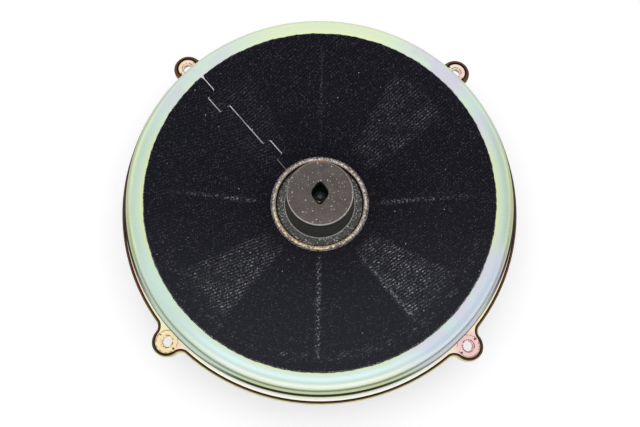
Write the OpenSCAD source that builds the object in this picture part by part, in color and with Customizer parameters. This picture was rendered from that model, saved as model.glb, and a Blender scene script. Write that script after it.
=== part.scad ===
// Shallow car woofer with an inverted motor: the pressed frame, its cloth and the motor face up,
// the cone hangs below. Millimetres, +Z up. The origin is the centre of the lugs' bolt circle,
// on the plane that the lugs and the rolled rim stand on.

/* [Frame] */
// Diameter of the flange, without its lugs
flange_d = 254; // [236:1:274]
// Thickness of the pressed steel sheet
sheet_t = 1.2; // [1:0.1:1.5]
// Height of the flange's top face over the mounting plane
flange_h = 4; // [3.8:0.1:5]
// Width from the wall's outer face to the rim's outer edge
flange_band = 4.4; // [4.2:0.1:7]
// Outer radius of the rim's rolled edge
rim_edge_r = 2.2; // [1.4:0.1:2.4]
// Radius of the hollow corner where the wall meets the flange
wall_fillet_r = 1.6; // [0.8:0.1:2]
// Height of the shoulder's crest over the flange's top face
crest_h = 18; // [16:0.5:24]
// Outer radius of the rounded shoulder
shoulder_r = 10.4; // [8:0.2:12]
// Slope of the dish, in degrees
dish_slope = 20; // [18:0.5:21]

/* [Windows and spokes] */
// Inner radius of the windows
window_in_r = 42; // [40:1:50]
// Width of the web left between the windows and the cloth's outer edge
window_margin = 8; // [6:1:16]
// Width of the narrow upright spokes
narrow_spoke_w = 7; // [4:0.5:12]
// Angle that each wide diagonal spoke covers, in degrees
wide_spoke_angle = 25; // [18:1:34]
// Radius of the windows' corners
window_corner_r = 5; // [3:0.5:6]

/* [Lugs] */
// Distance of each lug's hole outside the flange's edge
lug_reach = 2.2; // [1.5:0.1:4]
// Radius of a lug's round end
lug_r = 9.5; // [8.8:0.1:11]
// Radius of the hollow neck between a lug and the rim
lug_neck_r = 5; // [3.5:0.5:8]
// Diameter of the screw hole
lug_hole_d = 6; // [4.5:0.1:6.5]
// Diameter of the coined screw seat
seat_d = 13; // [11:0.1:13]
// Depth of the screw seat under the lug's top face
seat_depth = 0.4; // [0.2:0.1:0.6]
// Wall of the drawn collar round the screw hole
hole_collar_t = 1; // [0.8:0.1:1.2]

/* [Centre collar] */
// Inner radius of the recess that holds the front plate
recess_r = 28.4; // [27:0.2:30]
// Radius of the bead round the recess
bead_r = 1.65; // [1.3:0.05:1.9]
// Depth of the front plate's top face under the bead's crest
plate_drop = 3; // [2:0.1:4]
// Width of the shelf under the front plate
shelf_w = 3.8; // [3.4:0.1:5]

/* [Cloth] */
// Diameter of the cloth's outer edge
cloth_d = 217; // [196:1:217]
// Thickness of the cloth
cloth_t = 0.8; // [0.5:0.1:1.2]
// Gap between the cloth and the collar's bead
cloth_inset = 0.7; // [0.4:0.1:3]
// Width of the open stretches of the jigsaw seam
seam_gap = 0.6; // [0.5:0.1:1.2]
// Width of the closed stretches of the seam
seam_joint = 0.3; // [0.2:0.1:0.5]
// Depth of the notch where the seam leaves the cloth's edge
notch_depth = 2.6; // [1.5:0.1:4]
// Length of the seam's stretch that starts at the cloth's edge
seam_edge_l = 11.5; // [6:0.5:18]
// Length of each of the seam's two tabs
seam_tab_l = 12; // [8:0.5:15]
// Length of the stretch between the tabs
seam_mid_l = 32; // [24:1:36]
// Offset of the outer tab, counterclockwise
seam_tab_out = 7.3; // [3:0.1:9]
// Offset of the inner tab, clockwise
seam_tab_in = 5; // [3:0.1:7]

/* [Motor] */
// Thickness of the front plate
plate_t = 4; // [3:0.5:6]
// Radius of the pole piece
pole_r = 12.5; // [12:0.1:13]
// Thickness of the pole piece
pole_t = 5; // [4.5:0.5:7]
// Radius of the bore in the front plate
gap_bore_r = 14.2; // [14.2:0.1:15]
// Radius of the magnet
magnet_r = 11.8; // [10:0.1:11.9]
// Height of the magnet
magnet_h = 9.5; // [9:0.5:12]
// Thickness of the pot's wall
pot_wall = 3.5; // [2.5:0.5:3.5]
// Room between the coil's path and the pot's wall
pot_room = 1.8; // [1.5:0.1:2]
// Thickness of the pot's roof
pot_roof_t = 3.5; // [2.5:0.5:5]
// Diameter of the bolt through the motor
bolt_d = 4.2; // [3.5:0.1:5]
// Thickness of the nut on the bolt
nut_t = 2.2; // [2:0.1:3]
// Size of the nut across its flats
nut_af = 7; // [7:0.5:8]

/* [Magnet cover] */
// Height of the cover over the front plate
cover_h = 25.4; // [22.5:0.2:30]
// Radius of the cover's top
cover_top_r = 21.3; // [21:0.1:21.6]
// How much wider the cover is at its foot than at its top
cover_flare = 1.7; // [0.5:0.1:2]
// Height of the thin lip round the foot
cover_lip_h = 0.7; // [0.5:0.1:1.5]
// How far the thin lip stands out
cover_lip_w = 0.5; // [0.3:0.1:1]
// Radius of the rounded top edge
cover_edge_r = 1.2; // [0.6:0.1:1.5]
// Thickness of the cover's top
cover_top_t = 6; // [3:0.5:6]
// Radius of the round middle of the keyed hole
key_r = 5.3; // [5.1:0.1:6]
// Radius of the keyed hole's two lobes
key_lobe_r = 2.3; // [1.8:0.1:2.6]
// Length of the keyed hole over both lobes
key_l = 14.6; // [14:0.1:17]

/* [Coil and suspension] */
// Travel of the cone each way from rest
travel = 6; // [4:0.5:6]
// Height of the winding
coil_h = 8; // [6:0.5:8]
// Thickness of the winding
coil_t = 0.65; // [0.4:0.05:0.65]
// Wall of the coil's former
former_t = 0.3; // [0.2:0.05:0.3]
// Depth of the cone's neck under the mounting plane
neck_depth = 33; // [32:0.5:38]
// Width of the flat land at the cone's outer edge
cone_land = 4.5; // [3.5:0.5:6]
// Thickness of the cone
cone_t = 0.8; // [0.6:0.1:1.2]
// Thickness of the surround
surround_t = 1; // [0.7:0.1:1]
// Radius of the surround's half roll, at the middle of its wall
roll_r = 6.2; // [5:0.1:6.2]
// Radius of the dust cap
cap_r = 24; // [20:0.5:28]
// Room between the cone's neck and the dust cap's dome
cap_room = 0.7; // [0.4:0.1:4]
// Width of the dust cap's glued edge
cap_land = 2.5; // [2:0.5:5]
// Outer radius of the spider
spider_r = 38; // [37:0.5:39]
// Width of the spider's glued outer edge
spider_foot = 4; // [3:0.5:5]
// Thickness of the spider
spider_t = 0.6; // [0.5:0.1:0.8]
// Depth of the spider's corrugations, at the middle of its wall
spider_wave = 0.8; // [0.5:0.1:0.9]
// Number of corrugations in the spider
spider_rolls = 4; // [2:1:6]
// Drop of the spider from its outer edge to the former
spider_cup = 2.2; // [1.5:0.1:3]
// Height of the spider ring
spider_ring_h = 3.3; // [3:0.1:3.6]
// Thickness of the spider ring
spider_ring_t = 1.2; // [1:0.1:1.3]
// Diameter of the screws that hold the spider ring and the frame to the front plate
plate_screw_d = 2.6; // [2:0.1:2.8]

/* [Gasket] */
// Thickness of the gasket ring under the surround's edge
gasket_t = 1.6; // [1.2:0.1:1.6]
// Width of the gasket ring
gasket_w = 9; // [8:0.5:9]

/* [Terminals] */
// Distance of the terminal board's middle from the cloth's edge
board_inset = 17.5; // [17:0.5:24]
// Length of the terminal board, across its spoke
board_l = 24; // [22:1:30]
// Width of the terminal board, along its spoke
board_w = 12; // [10:1:14]
// Thickness of the terminal board
board_t = 1.5; // [1:0.1:2]
// Distance between the two solder tags
tag_pitch = 12; // [10:1:14]
// Width of the positive tag
tag_positive_w = 6.3; // [4.8:0.1:6.8]
// Width of the negative tag
tag_negative_w = 4.8; // [2.8:0.1:6.3]
// Thickness of the tags
tag_t = 0.6; // [0.5:0.1:0.8]
// Diameter of the tubular rivets
rivet_d = 3; // [2.4:0.1:3.2]
// Thickness of a tinsel lead
lead_d = 1.6; // [1.2:0.1:1.8]
// Distance of the leads' eyelets from the axis
eyelet_at_r = 50; // [48:1:52]
// Height of the grommet's middle over the flange's top face
grommet_up = 4.6; // [4.6:0.1:6]
// Diameter of the grommet's hole in the wall
grommet_d = 4.6; // [4.2:0.1:5]

/* [Hidden] */
$fn = 120;

// Gap that a line of glue or a seated face keeps
glue = 0.05;
// Gap of a piece that drops into its seat
seat_fit = 0.1;
// Running gap between moving and fixed pieces of the motor
running_gap = 0.3;
// Room left between the former and the pot's roof at the end of the travel
roof_room = 2;
// Gap of a ring that lies inside the rim
edge_gap = 0.3;
// Distance that a cut reaches past what it cuts
past = 1;

// Frame: radii and heights
flange_r = flange_d / 2;
wall_r = flange_r - flange_band;
shoulder_at_r = wall_r - shoulder_r;
shoulder_at_z = flange_h + crest_h - shoulder_r;
dish_top_r = shoulder_at_r - shoulder_r * sin(dish_slope);
dish_top_z = shoulder_at_z + shoulder_r * cos(dish_slope);
dish_drop = sheet_t / cos(dish_slope);
function dish_z(r) = dish_top_z - (dish_top_r - r) * tan(dish_slope);
function dish_under_z(r) = dish_z(r) - dish_drop;
bead_at_r = recess_r + bead_r;
bead_at_z = dish_z(bead_at_r + bead_r);
plate_top_z = bead_at_z + bead_r - plate_drop;
plate_z = plate_top_z - plate_t;
shelf_z = plate_z;
shelf_r = recess_r - shelf_w;

// Lugs: a neck circle blends the rim into the lug's round end, and runs a little into both
lug_turn = 45;
lug_at_r = flange_r + lug_reach;
neck_bite = 0.1;
neck_at_r = flange_r + lug_neck_r - neck_bite;
neck_to_lug = lug_r + lug_neck_r - neck_bite;
neck_angle = acos((lug_at_r ^ 2 + neck_at_r ^ 2 - neck_to_lug ^ 2) / (2 * lug_at_r * neck_at_r));

// Cloth
cloth_r = min(cloth_d / 2, dish_top_r);
cloth_in_r = bead_at_r + bead_r + cloth_inset;
cloth_lift = cloth_t / cos(dish_slope);
seam_turn = 135;

// Motor
pole_top_z = plate_z + pole_t;
pot_in_r = gap_bore_r + pot_room;
pot_r = pot_in_r + pot_wall;
roof_z = pole_top_z + magnet_h;
pot_top_z = roof_z + pot_roof_t;
bolt_r = bolt_d / 2;
bolt_head_r = bolt_d;
bolt_head_t = 2;
bolt_end = 0.5;

// Cover
cover_top_z = plate_top_z + cover_h;
cover_foot_r = cover_top_r + cover_flare;

// Surround: it spans from the gasket's inner edge to the cone's edge
rim_in_r = flange_r - sheet_t;
foot_r = rim_in_r - edge_gap;
gasket_in_r = foot_r - gasket_w;
roll_out_r = gasket_in_r + surround_t;
roll_at_r = roll_out_r - roll_r;
roll_in_r = roll_at_r - roll_r;
surround_edge_r = min(foot_r, flange_r - rim_edge_r);
hole_collar_r = lug_hole_d / 2 + hole_collar_t;

// Coil and cone
former_r = pole_r + running_gap;
former_out_r = former_r + former_t;
coil_r = former_out_r + glue;
coil_mid_z = plate_z + plate_t / 2;
coil_top_z = coil_mid_z + coil_h / 2;
former_top_z = roof_z - travel - roof_room;
neck_r = former_out_r + glue + cone_t;
neck_z = -neck_depth;
surround_z = gasket_t + glue;
surround_top_z = surround_z + surround_t;
cone_r = roll_in_r - surround_t / 2;
cone_top_z = surround_z - glue;
cone_in_land_r = cone_r - cone_land;
cone_slope = atan((cone_top_z - neck_z) / (cone_in_land_r - neck_r));
cone_drop = cone_t / cos(cone_slope);
function cone_z(r) = cone_top_z - (cone_in_land_r - r) * tan(cone_slope);
neck_collar_h = 3;

// Spider and its ring
ring_top_z = shelf_z - sheet_t - glue;
ring_foot_z = ring_top_z - spider_ring_h;
ring_in_r = shelf_r + seat_fit;
ring_step_r = spider_r - spider_foot - 2 * spider_ring_t;
spider_z = ring_foot_z - glue - spider_t;
spider_in_z = spider_z - spider_cup;
spider_in_r = former_out_r + glue;
spider_hub_w = 2.4;
plate_screw_count = 4;
plate_screw_at_r = (ring_in_r + recess_r) / 2;
plate_screw_bite = 2.5;

// Terminals
board_turn = 45;
board_at_r = cloth_r - board_inset;
rivet_r = rivet_d / 2;
rivet_head_w = 1;
rivet_head_r = rivet_r + rivet_head_w;
rivet_head_t = 0.6;
sink_t = 0.8;
tag_overhang = 5;
tag_bend = 40;
tag_tip = 4;
eyelet_r = 1.6;
eyelet_head_r = 2.6;
eyelet_head_t = 0.4;
eyelet_lift = 3 * glue;

// A tag's outline in the board's plane: its inner end and the tip of its bent end
tag_front = -board_w / 2 - tag_overhang;
tag_tip_x = tag_front - tag_tip * cos(tag_bend);
tag_tip_z = -tag_tip * sin(tag_bend);
tag_under = -2 * glue - board_t - tag_t;

// Route of a lead in its upright plane: distance from the axis and height, from the tag's tip to
// its eyelet's head. The shares give its sag between the two ends
function from_board(x, z) = [
    board_at_r + x * cos(dish_slope) - z * sin(dish_slope),
    dish_under_z(board_at_r) + x * sin(dish_slope) + z * cos(dish_slope)
];
lead_from = from_board(tag_tip_x, tag_under + tag_tip_z) + [-0.2, -0.3];
lead_room = 0.8;
lead_to = [eyelet_at_r + 0.2, cone_z(eyelet_at_r) + eyelet_lift + eyelet_head_t + lead_room];
lead_shares = [
    [0, 0], [0.034, 0.08], [0.11, 0.175], [0.221, 0.25], [0.345, 0.307], [0.469, 0.368],
    [0.586, 0.439], [0.697, 0.528], [0.8, 0.632], [0.89, 0.75], [0.962, 0.868],
    [0.993, 0.939], [1, 1]
];
lead_route = [
    for (s = lead_shares)
        [lead_from.x + s.x * (lead_to.x - lead_from.x), lead_from.y + s.y * (lead_to.y - lead_from.y)]
];

// Points on an arc about [x, z], from angle a to angle b
function arc(x, z, r, a, b, steps) =
    [for (i = [0:steps]) let (t = a + (b - a) * i / steps) [x + r * cos(t), z + r * sin(t)]];

// The sheet's outline from the recess to the rim's lower edge
module frame_section() {
    fillet_r = wall_r + wall_fillet_r;
    fillet_z = flange_h + wall_fillet_r;
    under_r = recess_r + sheet_t;
    polygon(concat(
        [[shelf_r, shelf_z], [recess_r, shelf_z]],
        arc(bead_at_r, bead_at_z, bead_r, 180, 0, 12),
        arc(shoulder_at_r, shoulder_at_z, shoulder_r, 90 + dish_slope, 0, 20),
        arc(fillet_r, fillet_z, wall_fillet_r, 180, 270, 5),
        arc(flange_r - rim_edge_r, flange_h - rim_edge_r, rim_edge_r, 90, 0, 5),
        [[flange_r, 0], [flange_r - sheet_t, 0]],
        arc(flange_r - rim_edge_r, flange_h - rim_edge_r, rim_edge_r - sheet_t, 0, 90, 2),
        arc(fillet_r, fillet_z, wall_fillet_r + sheet_t, 270, 180, 6),
        arc(shoulder_at_r, shoulder_at_z, shoulder_r - sheet_t, 0, 90 + dish_slope, 18),
        [[under_r, dish_under_z(under_r)], [under_r, shelf_z - sheet_t], [shelf_r, shelf_z - sheet_t]]
    ));
}

// Places a copy at each quarter turn
module at_quarters() {
    for (k = [0:3])
        rotate(90 * k) children();
}

// Places a copy at each lug, with the lug's axis along +X
module at_lugs() {
    rotate(lug_turn) at_quarters() children();
}

// One lug with its two necks and rolled edge, drawn in by a wall to give the hollow under it
module lug_form(wall) {
    low = wall > 0 ? -past : 0;
    top = flange_h - wall;
    edge_z = flange_h - rim_edge_r;
    neck = neck_at_r * [cos(neck_angle), sin(neck_angle)];
    root = (wall_r - past) * [cos(neck_angle), sin(neck_angle)];
    translate([lug_at_r, 0, 0])
        rotate_extrude()
            polygon(concat(
                [[0, low], [lug_r - wall, low]],
                arc(lug_r - rim_edge_r, edge_z, rim_edge_r - wall, 0, 90, 5),
                [[0, top]]
            ));
    difference() {
        translate([0, 0, low])
            linear_extrude(top - low)
                polygon([root, neck, [lug_at_r, 0], [neck.x, -neck.y], [root.x, -root.y]]);
        for (side = [-1, 1])
            translate([neck.x, side * neck.y, 0])
                rotate_extrude()
                    polygon(concat(
                        [[0, low - past], [lug_neck_r + wall, low - past]],
                        arc(lug_neck_r + rim_edge_r, edge_z, rim_edge_r - wall, 180, 90, 5),
                        [[lug_neck_r + rim_edge_r, top + past], [0, top + past]]
                    ));
    }
}

// The space inside the rim, with its step in the middle of the sheet
module rim_core() {
    skirt_r = flange_r - sheet_t / 2;
    flat_r = flange_r - rim_edge_r - (flange_band - rim_edge_r - wall_fillet_r) / 2;
    rotate_extrude()
        polygon([
            [0, -past], [skirt_r, -past], [skirt_r, flange_h - sheet_t / 2],
            [flat_r, flange_h - sheet_t / 2], [flat_r, flange_h + past], [0, flange_h + past]
        ]);
}

// One window between a narrow spoke on +X and the wide spoke's edge, with round corners
module window_outline() {
    out_r = cloth_r - window_margin;
    edge_turn = 45 - wide_spoke_angle / 2;
    c = window_corner_r;
    spoke_y = narrow_spoke_w / 2 + c;
    near_low = asin(spoke_y / (window_in_r + c));
    far_low = asin(spoke_y / (out_r - c));
    near_high = edge_turn - asin(c / (window_in_r + c));
    far_high = edge_turn - asin(c / (out_r - c));
    function polar(r, a) = [r * cos(a), r * sin(a)];
    function corner(r, a, from, to) = arc(polar(r, a).x, polar(r, a).y, c, from, to, 3);
    polygon(concat(
        corner(window_in_r + c, near_low, 180 + near_low, 270),
        corner(out_r - c, far_low, -90, far_low),
        [for (i = [1:4]) polar(out_r, far_low + (far_high - far_low) * i / 5)],
        corner(out_r - c, far_high, far_high, 90 + edge_turn),
        corner(window_in_r + c, near_high, 90 + edge_turn, 180 + near_high),
        [for (i = [1:2]) polar(window_in_r, near_high + (near_low - near_high) * i / 3)]
    ));
}

// Places a child with its z along the dish's normal and its origin on the dish's underside
module at_board() {
    rotate(board_turn)
        translate([board_at_r, 0, dish_under_z(board_at_r)])
            rotate([0, -dish_slope, 0]) children();
}

// Places a child at each screw of the spider ring
module at_plate_screws() {
    for (k = [0:plate_screw_count - 1])
        rotate(k * 360 / plate_screw_count) translate([plate_screw_at_r, 0]) children();
}

// A flush rivet's shank and sunk head, grown by a clearance; the dish's top face is at z = sheet_t
module rivet_hole(clear) {
    translate([0, 0, -past]) cylinder(r = rivet_r + clear, h = sheet_t + 2 * past);
    translate([0, 0, sheet_t - sink_t])
        cylinder(r1 = rivet_r + clear, r2 = rivet_r + sink_t + clear, h = sink_t + 0.01);
}

// The frame is drawn with its lugs on the axes, and then turned to its place
module basket_frame() {
    color("darkkhaki")
    rotate(lug_turn)
        difference() {
            union() {
                difference() {
                    union() {
                        rotate_extrude() frame_section();
                        at_quarters()
                            difference() {
                                lug_form(0);
                                rim_core();
                            }
                    }
                    at_quarters() lug_form(sheet_t);
                }
                at_quarters()
                    translate([lug_at_r, 0, 0]) cylinder(r = hole_collar_r, h = flange_h - sheet_t / 2);
            }
            at_quarters() {
                translate([lug_at_r, 0, flange_h - seat_depth]) cylinder(d = seat_d, h = flange_h);
                translate([lug_at_r, 0, -past]) cylinder(d = lug_hole_d, h = flange_h + past);
            }
            rotate(-lug_turn) frame_cuts();
        }
}

// Windows and small holes in the frame
module frame_cuts() {
    low_z = dish_under_z(window_in_r) - past;
    at_quarters()
        for (side = [0, 1])
            mirror([0, side, 0])
                translate([0, 0, low_z])
                    linear_extrude(dish_top_z - low_z) window_outline();
    at_board()
        for (side = [-1, 1])
            translate([0, side * tag_pitch / 2, 0]) rivet_hole(seat_fit);
    at_plate_screws()
        translate([0, 0, shelf_z - sheet_t - past])
            cylinder(d = plate_screw_d + 2 * seat_fit, h = sheet_t + 2 * past);
    grommet_axis() cylinder(d = grommet_d + 2 * glue, h = 4 * sheet_t, center = true);
}

// The cloth's outline cut by the seam: open stretches along the radius, closed ones across it
module seam_cut() {
    tab_a = cloth_r - seam_edge_l;
    tab_b = tab_a - seam_tab_l;
    tab_c = tab_b - seam_mid_l;
    tab_d = tab_c - seam_tab_l;
    module open(from, to, across)
        translate([from, across - seam_gap / 2]) square([to - from, seam_gap]);
    module closed(at, low, high)
        translate([at - seam_joint / 2, low - seam_gap / 2]) square([seam_joint, high - low + seam_gap]);
    open(tab_a, cloth_r + past, 0);
    open(tab_b, tab_a, seam_tab_out);
    open(tab_c, tab_b, 0);
    open(tab_d, tab_c, -seam_tab_in);
    open(cloth_in_r - past, tab_d, 0);
    closed(tab_a, 0, seam_tab_out);
    closed(tab_b, 0, seam_tab_out);
    closed(tab_c, -seam_tab_in, 0);
    closed(tab_d, -seam_tab_in, 0);
    polygon([[cloth_r - notch_depth, 0], [cloth_r + past, -notch_depth], [cloth_r + past, notch_depth]]);
}

module acoustic_cloth() {
    color("#1d1d24")
    difference() {
        rotate_extrude()
            polygon([
                [cloth_in_r, dish_z(cloth_in_r) + glue], [cloth_r, dish_z(cloth_r) + glue],
                [cloth_r, dish_z(cloth_r) + glue + cloth_lift],
                [cloth_in_r, dish_z(cloth_in_r) + glue + cloth_lift]
            ]);
        rotate(seam_turn)
            translate([0, 0, dish_z(cloth_in_r) - past])
                linear_extrude(dish_z(cloth_r) - dish_z(cloth_in_r) + cloth_lift + 2 * past) seam_cut();
    }
}

// Circle with two smaller lobes on the Y axis, joined by straight flanks
module key_outline() {
    lobe_y = key_l / 2 - key_lobe_r;
    lean = acos((key_r - key_lobe_r) / lobe_y);
    polygon(concat(
        arc(0, 0, key_r, lean - 90, 90 - lean, 10),
        arc(0, lobe_y, key_lobe_r, 90 - lean, 90 + lean, 8),
        arc(0, 0, key_r, 90 + lean, 270 - lean, 10),
        arc(0, -lobe_y, key_lobe_r, 270 - lean, 270 + lean, 8)
    ));
}

module magnet_cover() {
    color("#4a4644")
    difference() {
        rotate_extrude()
            polygon(concat(
                [[pot_r + seat_fit, plate_top_z + glue], [cover_foot_r + cover_lip_w, plate_top_z + glue],
                 [cover_foot_r + cover_lip_w, plate_top_z + cover_lip_h],
                 [cover_foot_r, plate_top_z + cover_lip_h]],
                arc(cover_top_r - cover_edge_r, cover_top_z - cover_edge_r, cover_edge_r, 0, 90, 6),
                [[0, cover_top_z], [0, cover_top_z - cover_top_t],
                 [pot_r + seat_fit, cover_top_z - cover_top_t]]
            ));
        translate([0, 0, cover_top_z - cover_top_t - past])
            linear_extrude(cover_top_t + 2 * past) key_outline();
    }
}

module front_plate() {
    color("#3a3b38")
    difference() {
        translate([0, 0, plate_z + glue]) cylinder(r = recess_r - seat_fit, h = plate_t - glue);
        translate([0, 0, plate_z - past]) cylinder(r = gap_bore_r, h = plate_t + 2 * past);
        at_plate_screws()
            translate([0, 0, plate_z - past])
                cylinder(d = plate_screw_d + 2 * glue, h = plate_screw_bite + seat_fit + past);
    }
}

module yoke_pot() {
    color("dimgray")
    difference() {
        translate([0, 0, plate_top_z + glue]) cylinder(r = pot_r, h = pot_top_z - plate_top_z - glue);
        translate([0, 0, plate_top_z - past]) cylinder(r = pot_in_r, h = roof_z - plate_top_z + past);
        translate([0, 0, roof_z - past]) cylinder(r = bolt_r + seat_fit, h = pot_roof_t + 2 * past);
    }
}

module magnet() {
    color("silver")
    difference() {
        translate([0, 0, pole_top_z + glue]) cylinder(r = magnet_r, h = magnet_h - 2 * glue);
        translate([0, 0, pole_top_z - past]) cylinder(r = bolt_r + seat_fit, h = magnet_h + 2 * past);
    }
}

module pole_piece() {
    color("gray")
    difference() {
        translate([0, 0, plate_z]) cylinder(r = pole_r, h = pole_t);
        translate([0, 0, plate_z - past]) cylinder(r = bolt_r + seat_fit, h = pole_t + 2 * past);
    }
}

module pole_bolt() {
    head_z = plate_z - glue - bolt_head_t;
    color("slategray") {
        translate([0, 0, head_z]) cylinder(r = bolt_head_r, h = bolt_head_t);
        translate([0, 0, head_z]) cylinder(r = bolt_r, h = pot_top_z + nut_t + bolt_end - head_z);
    }
}

module pole_nut() {
    color("goldenrod")
    translate([0, 0, pot_top_z + glue])
        difference() {
            cylinder(d = nut_af / cos(30), h = nut_t - glue, $fn = 6);
            translate([0, 0, -past]) cylinder(r = bolt_r + glue, h = nut_t + 2 * past);
        }
}

// Flush screws up through the spider ring and the frame's shelf into the front plate
module plate_screws() {
    low_z = ring_top_z - spider_ring_t;
    color("darkgray")
    at_plate_screws()
        translate([0, 0, low_z])
            rotate_extrude()
                polygon([
                    [0, 0], [plate_screw_d / 2 + sink_t, 0], [plate_screw_d / 2, sink_t],
                    [plate_screw_d / 2, plate_z + plate_screw_bite - low_z],
                    [0, plate_z + plate_screw_bite - low_z]
                ]);
}

module coil_former() {
    color("tan")
    translate([0, 0, neck_z])
        difference() {
            cylinder(r = former_out_r, h = former_top_z - neck_z);
            translate([0, 0, -past]) cylinder(r = former_r, h = former_top_z - neck_z + 2 * past);
        }
}

module voice_coil() {
    color("peru")
    translate([0, 0, coil_top_z - coil_h])
        difference() {
            cylinder(r = coil_r + coil_t, h = coil_h);
            translate([0, 0, -past]) cylinder(r = coil_r, h = coil_h + 2 * past);
        }
}

// Corrugated disc between the former and the spider ring
module spider() {
    hub_r = spider_in_r + spider_hub_w;
    wave_r = spider_r - spider_foot;
    steps = 8 * spider_rolls;
    function mid(i) = let (s = i / steps)
        [hub_r + (wave_r - hub_r) * s,
         spider_in_z + (spider_z - spider_in_z) * s + spider_wave * sin(360 * spider_rolls * s)];
    color("khaki")
    rotate_extrude()
        polygon(concat(
            [[spider_in_r, spider_in_z]],
            [for (i = [0:steps]) mid(i)],
            [[spider_r, spider_z], [spider_r, spider_z + spider_t]],
            [for (i = [steps:-1:0]) mid(i) + [0, spider_t]],
            [[spider_in_r, spider_in_z + spider_t]]
        ));
}

// Pressed ring that steps down from the frame's shelf to the spider's glued edge
module spider_ring() {
    t = spider_ring_t;
    top_r = ring_step_r - spider_ring_h / 2;
    color("darkseagreen")
    difference() {
        rotate_extrude()
            polygon([
                [ring_in_r, ring_top_z], [top_r, ring_top_z], [ring_step_r + t, ring_foot_z + t],
                [spider_r, ring_foot_z + t], [spider_r, ring_foot_z], [ring_step_r, ring_foot_z],
                [top_r - t, ring_top_z - t], [ring_in_r, ring_top_z - t]
            ]);
        at_plate_screws()
            translate([0, 0, ring_top_z - t])
                rotate_extrude()
                    polygon([
                        [0, -past], [plate_screw_d / 2 + sink_t + glue + past, -past],
                        [plate_screw_d / 2 + glue, sink_t], [plate_screw_d / 2 + glue, t + past],
                        [0, t + past]
                    ]);
    }
}

// Places a child on the cone's top face at each lead's eyelet, with z along the cone's normal
module at_eyelets() {
    across = tag_pitch / 2;
    at_r = norm([eyelet_at_r, across]);
    for (side = [-1, 1])
        rotate(board_turn + side * atan(across / eyelet_at_r))
            translate([at_r, 0, cone_z(at_r)])
                rotate([0, -cone_slope, 0]) children();
}

module cone() {
    color("#2b2b2d")
    difference() {
        rotate_extrude()
            polygon([
                [former_out_r + glue, neck_z - cone_drop + cone_t],
                [former_out_r + glue, neck_z + neck_collar_h], [neck_r, neck_z + neck_collar_h],
                [neck_r, neck_z], [cone_in_land_r, cone_top_z], [cone_r, cone_top_z],
                [cone_r, cone_top_z - cone_t],
                [cone_in_land_r + cone_t * tan(cone_slope / 2), cone_top_z - cone_t],
                [neck_r, neck_z - cone_drop], [former_out_r + glue, neck_z - cone_drop]
            ]);
        at_eyelets() translate([0, 0, -2 * cone_t - past]) cylinder(r = eyelet_r + glue, h = 4 * cone_t + past);
    }
}

// Domed cap glued to the cone's underside round its neck
module dust_cap() {
    edge_z = cone_z(cap_r) - cone_drop - glue;
    low_z = neck_z - cone_drop - cap_room;
    land_r = cap_r + cap_land;
    land_z = cone_z(land_r) - cone_drop - glue;
    dome_z = (cap_r ^ 2 - neck_r ^ 2 + edge_z ^ 2 - low_z ^ 2) / (2 * (edge_z - low_z));
    dome_r = norm([cap_r, dome_z - edge_z]);
    half = asin(cap_r / dome_r);
    color("#232325")
    rotate_extrude()
        polygon(concat(
            arc(0, dome_z - cone_t, dome_r, 270, 270 + half, 12),
            [[land_r, land_z - cone_t], [land_r, land_z]],
            arc(0, dome_z, dome_r, 270 + half, 270, 12)
        ));
}

// Clears a ring's outer edge round the collars of the screw holes
module lug_reliefs(low_z, high_z) {
    at_lugs()
        translate([lug_at_r, 0, low_z - past])
            cylinder(r = hole_collar_r + edge_gap, h = high_z - low_z + 2 * past);
}

module surround() {
    half = surround_t / 2;
    mid_z = surround_z + half;
    color("#26262a")
    difference() {
        rotate_extrude()
            polygon(concat(
                [[cone_in_land_r, surround_z], [cone_in_land_r, surround_top_z]],
                [[roll_in_r - half, surround_top_z]],
                arc(roll_at_r, mid_z, roll_r + half, 175, 5, 16),
                [[roll_out_r + half, surround_top_z], [surround_edge_r, surround_top_z], [surround_edge_r, surround_z],
                 [roll_out_r - half, surround_z]],
                arc(roll_at_r, mid_z, roll_r - half, 0, 180, 16),
                [[roll_in_r + half, surround_z]]
            ));
        lug_reliefs(surround_z, surround_top_z);
    }
}

module gasket() {
    color("#6b5a45")
    difference() {
        cylinder(r = foot_r, h = gasket_t);
        translate([0, 0, -past]) cylinder(r = gasket_in_r, h = gasket_t + 2 * past);
        lug_reliefs(0, gasket_t);
    }
}

module terminal_board() {
    color("saddlebrown")
    at_board()
        translate([0, 0, -glue - board_t])
            difference() {
                translate([-board_w / 2, -board_l / 2, 0]) cube([board_w, board_l, board_t]);
                for (side = [-1, 1])
                    translate([0, side * tag_pitch / 2, -past])
                        cylinder(r = rivet_r + seat_fit, h = board_t + 2 * past);
            }
}

// A solder tag under the board, with its inner end bent down and a hole for the lead
module tag(side, width) {
    back = board_w / 2 - 1;
    color("silver")
    at_board()
        translate([0, side * tag_pitch / 2, tag_under])
            difference() {
                rotate([90, 0, 0])
                    linear_extrude(width, center = true)
                        polygon([
                            [back, 0], [back, tag_t], [tag_front, tag_t],
                            [tag_tip_x, tag_tip_z + tag_t], [tag_tip_x, tag_tip_z], [tag_front, 0]
                        ]);
                translate([0, 0, -past]) cylinder(r = rivet_r + seat_fit, h = tag_t + 2 * past);
            }
}

module terminal_positive() {
    tag(1, tag_positive_w);
}

module terminal_negative() {
    tag(-1, tag_negative_w);
}

module terminal_rivets() {
    low = tag_under - glue - rivet_head_t;
    color("lightgray")
    at_board()
        for (side = [-1, 1])
            translate([0, side * tag_pitch / 2, 0])
                rotate_extrude()
                    polygon([
                        [0, low], [rivet_head_r, low], [rivet_head_r, low + rivet_head_t],
                        [rivet_r, low + rivet_head_t], [rivet_r, sheet_t - sink_t],
                        [rivet_r + sink_t - glue, sheet_t - glue], [0, sheet_t - glue]
                    ]);
}

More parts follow.
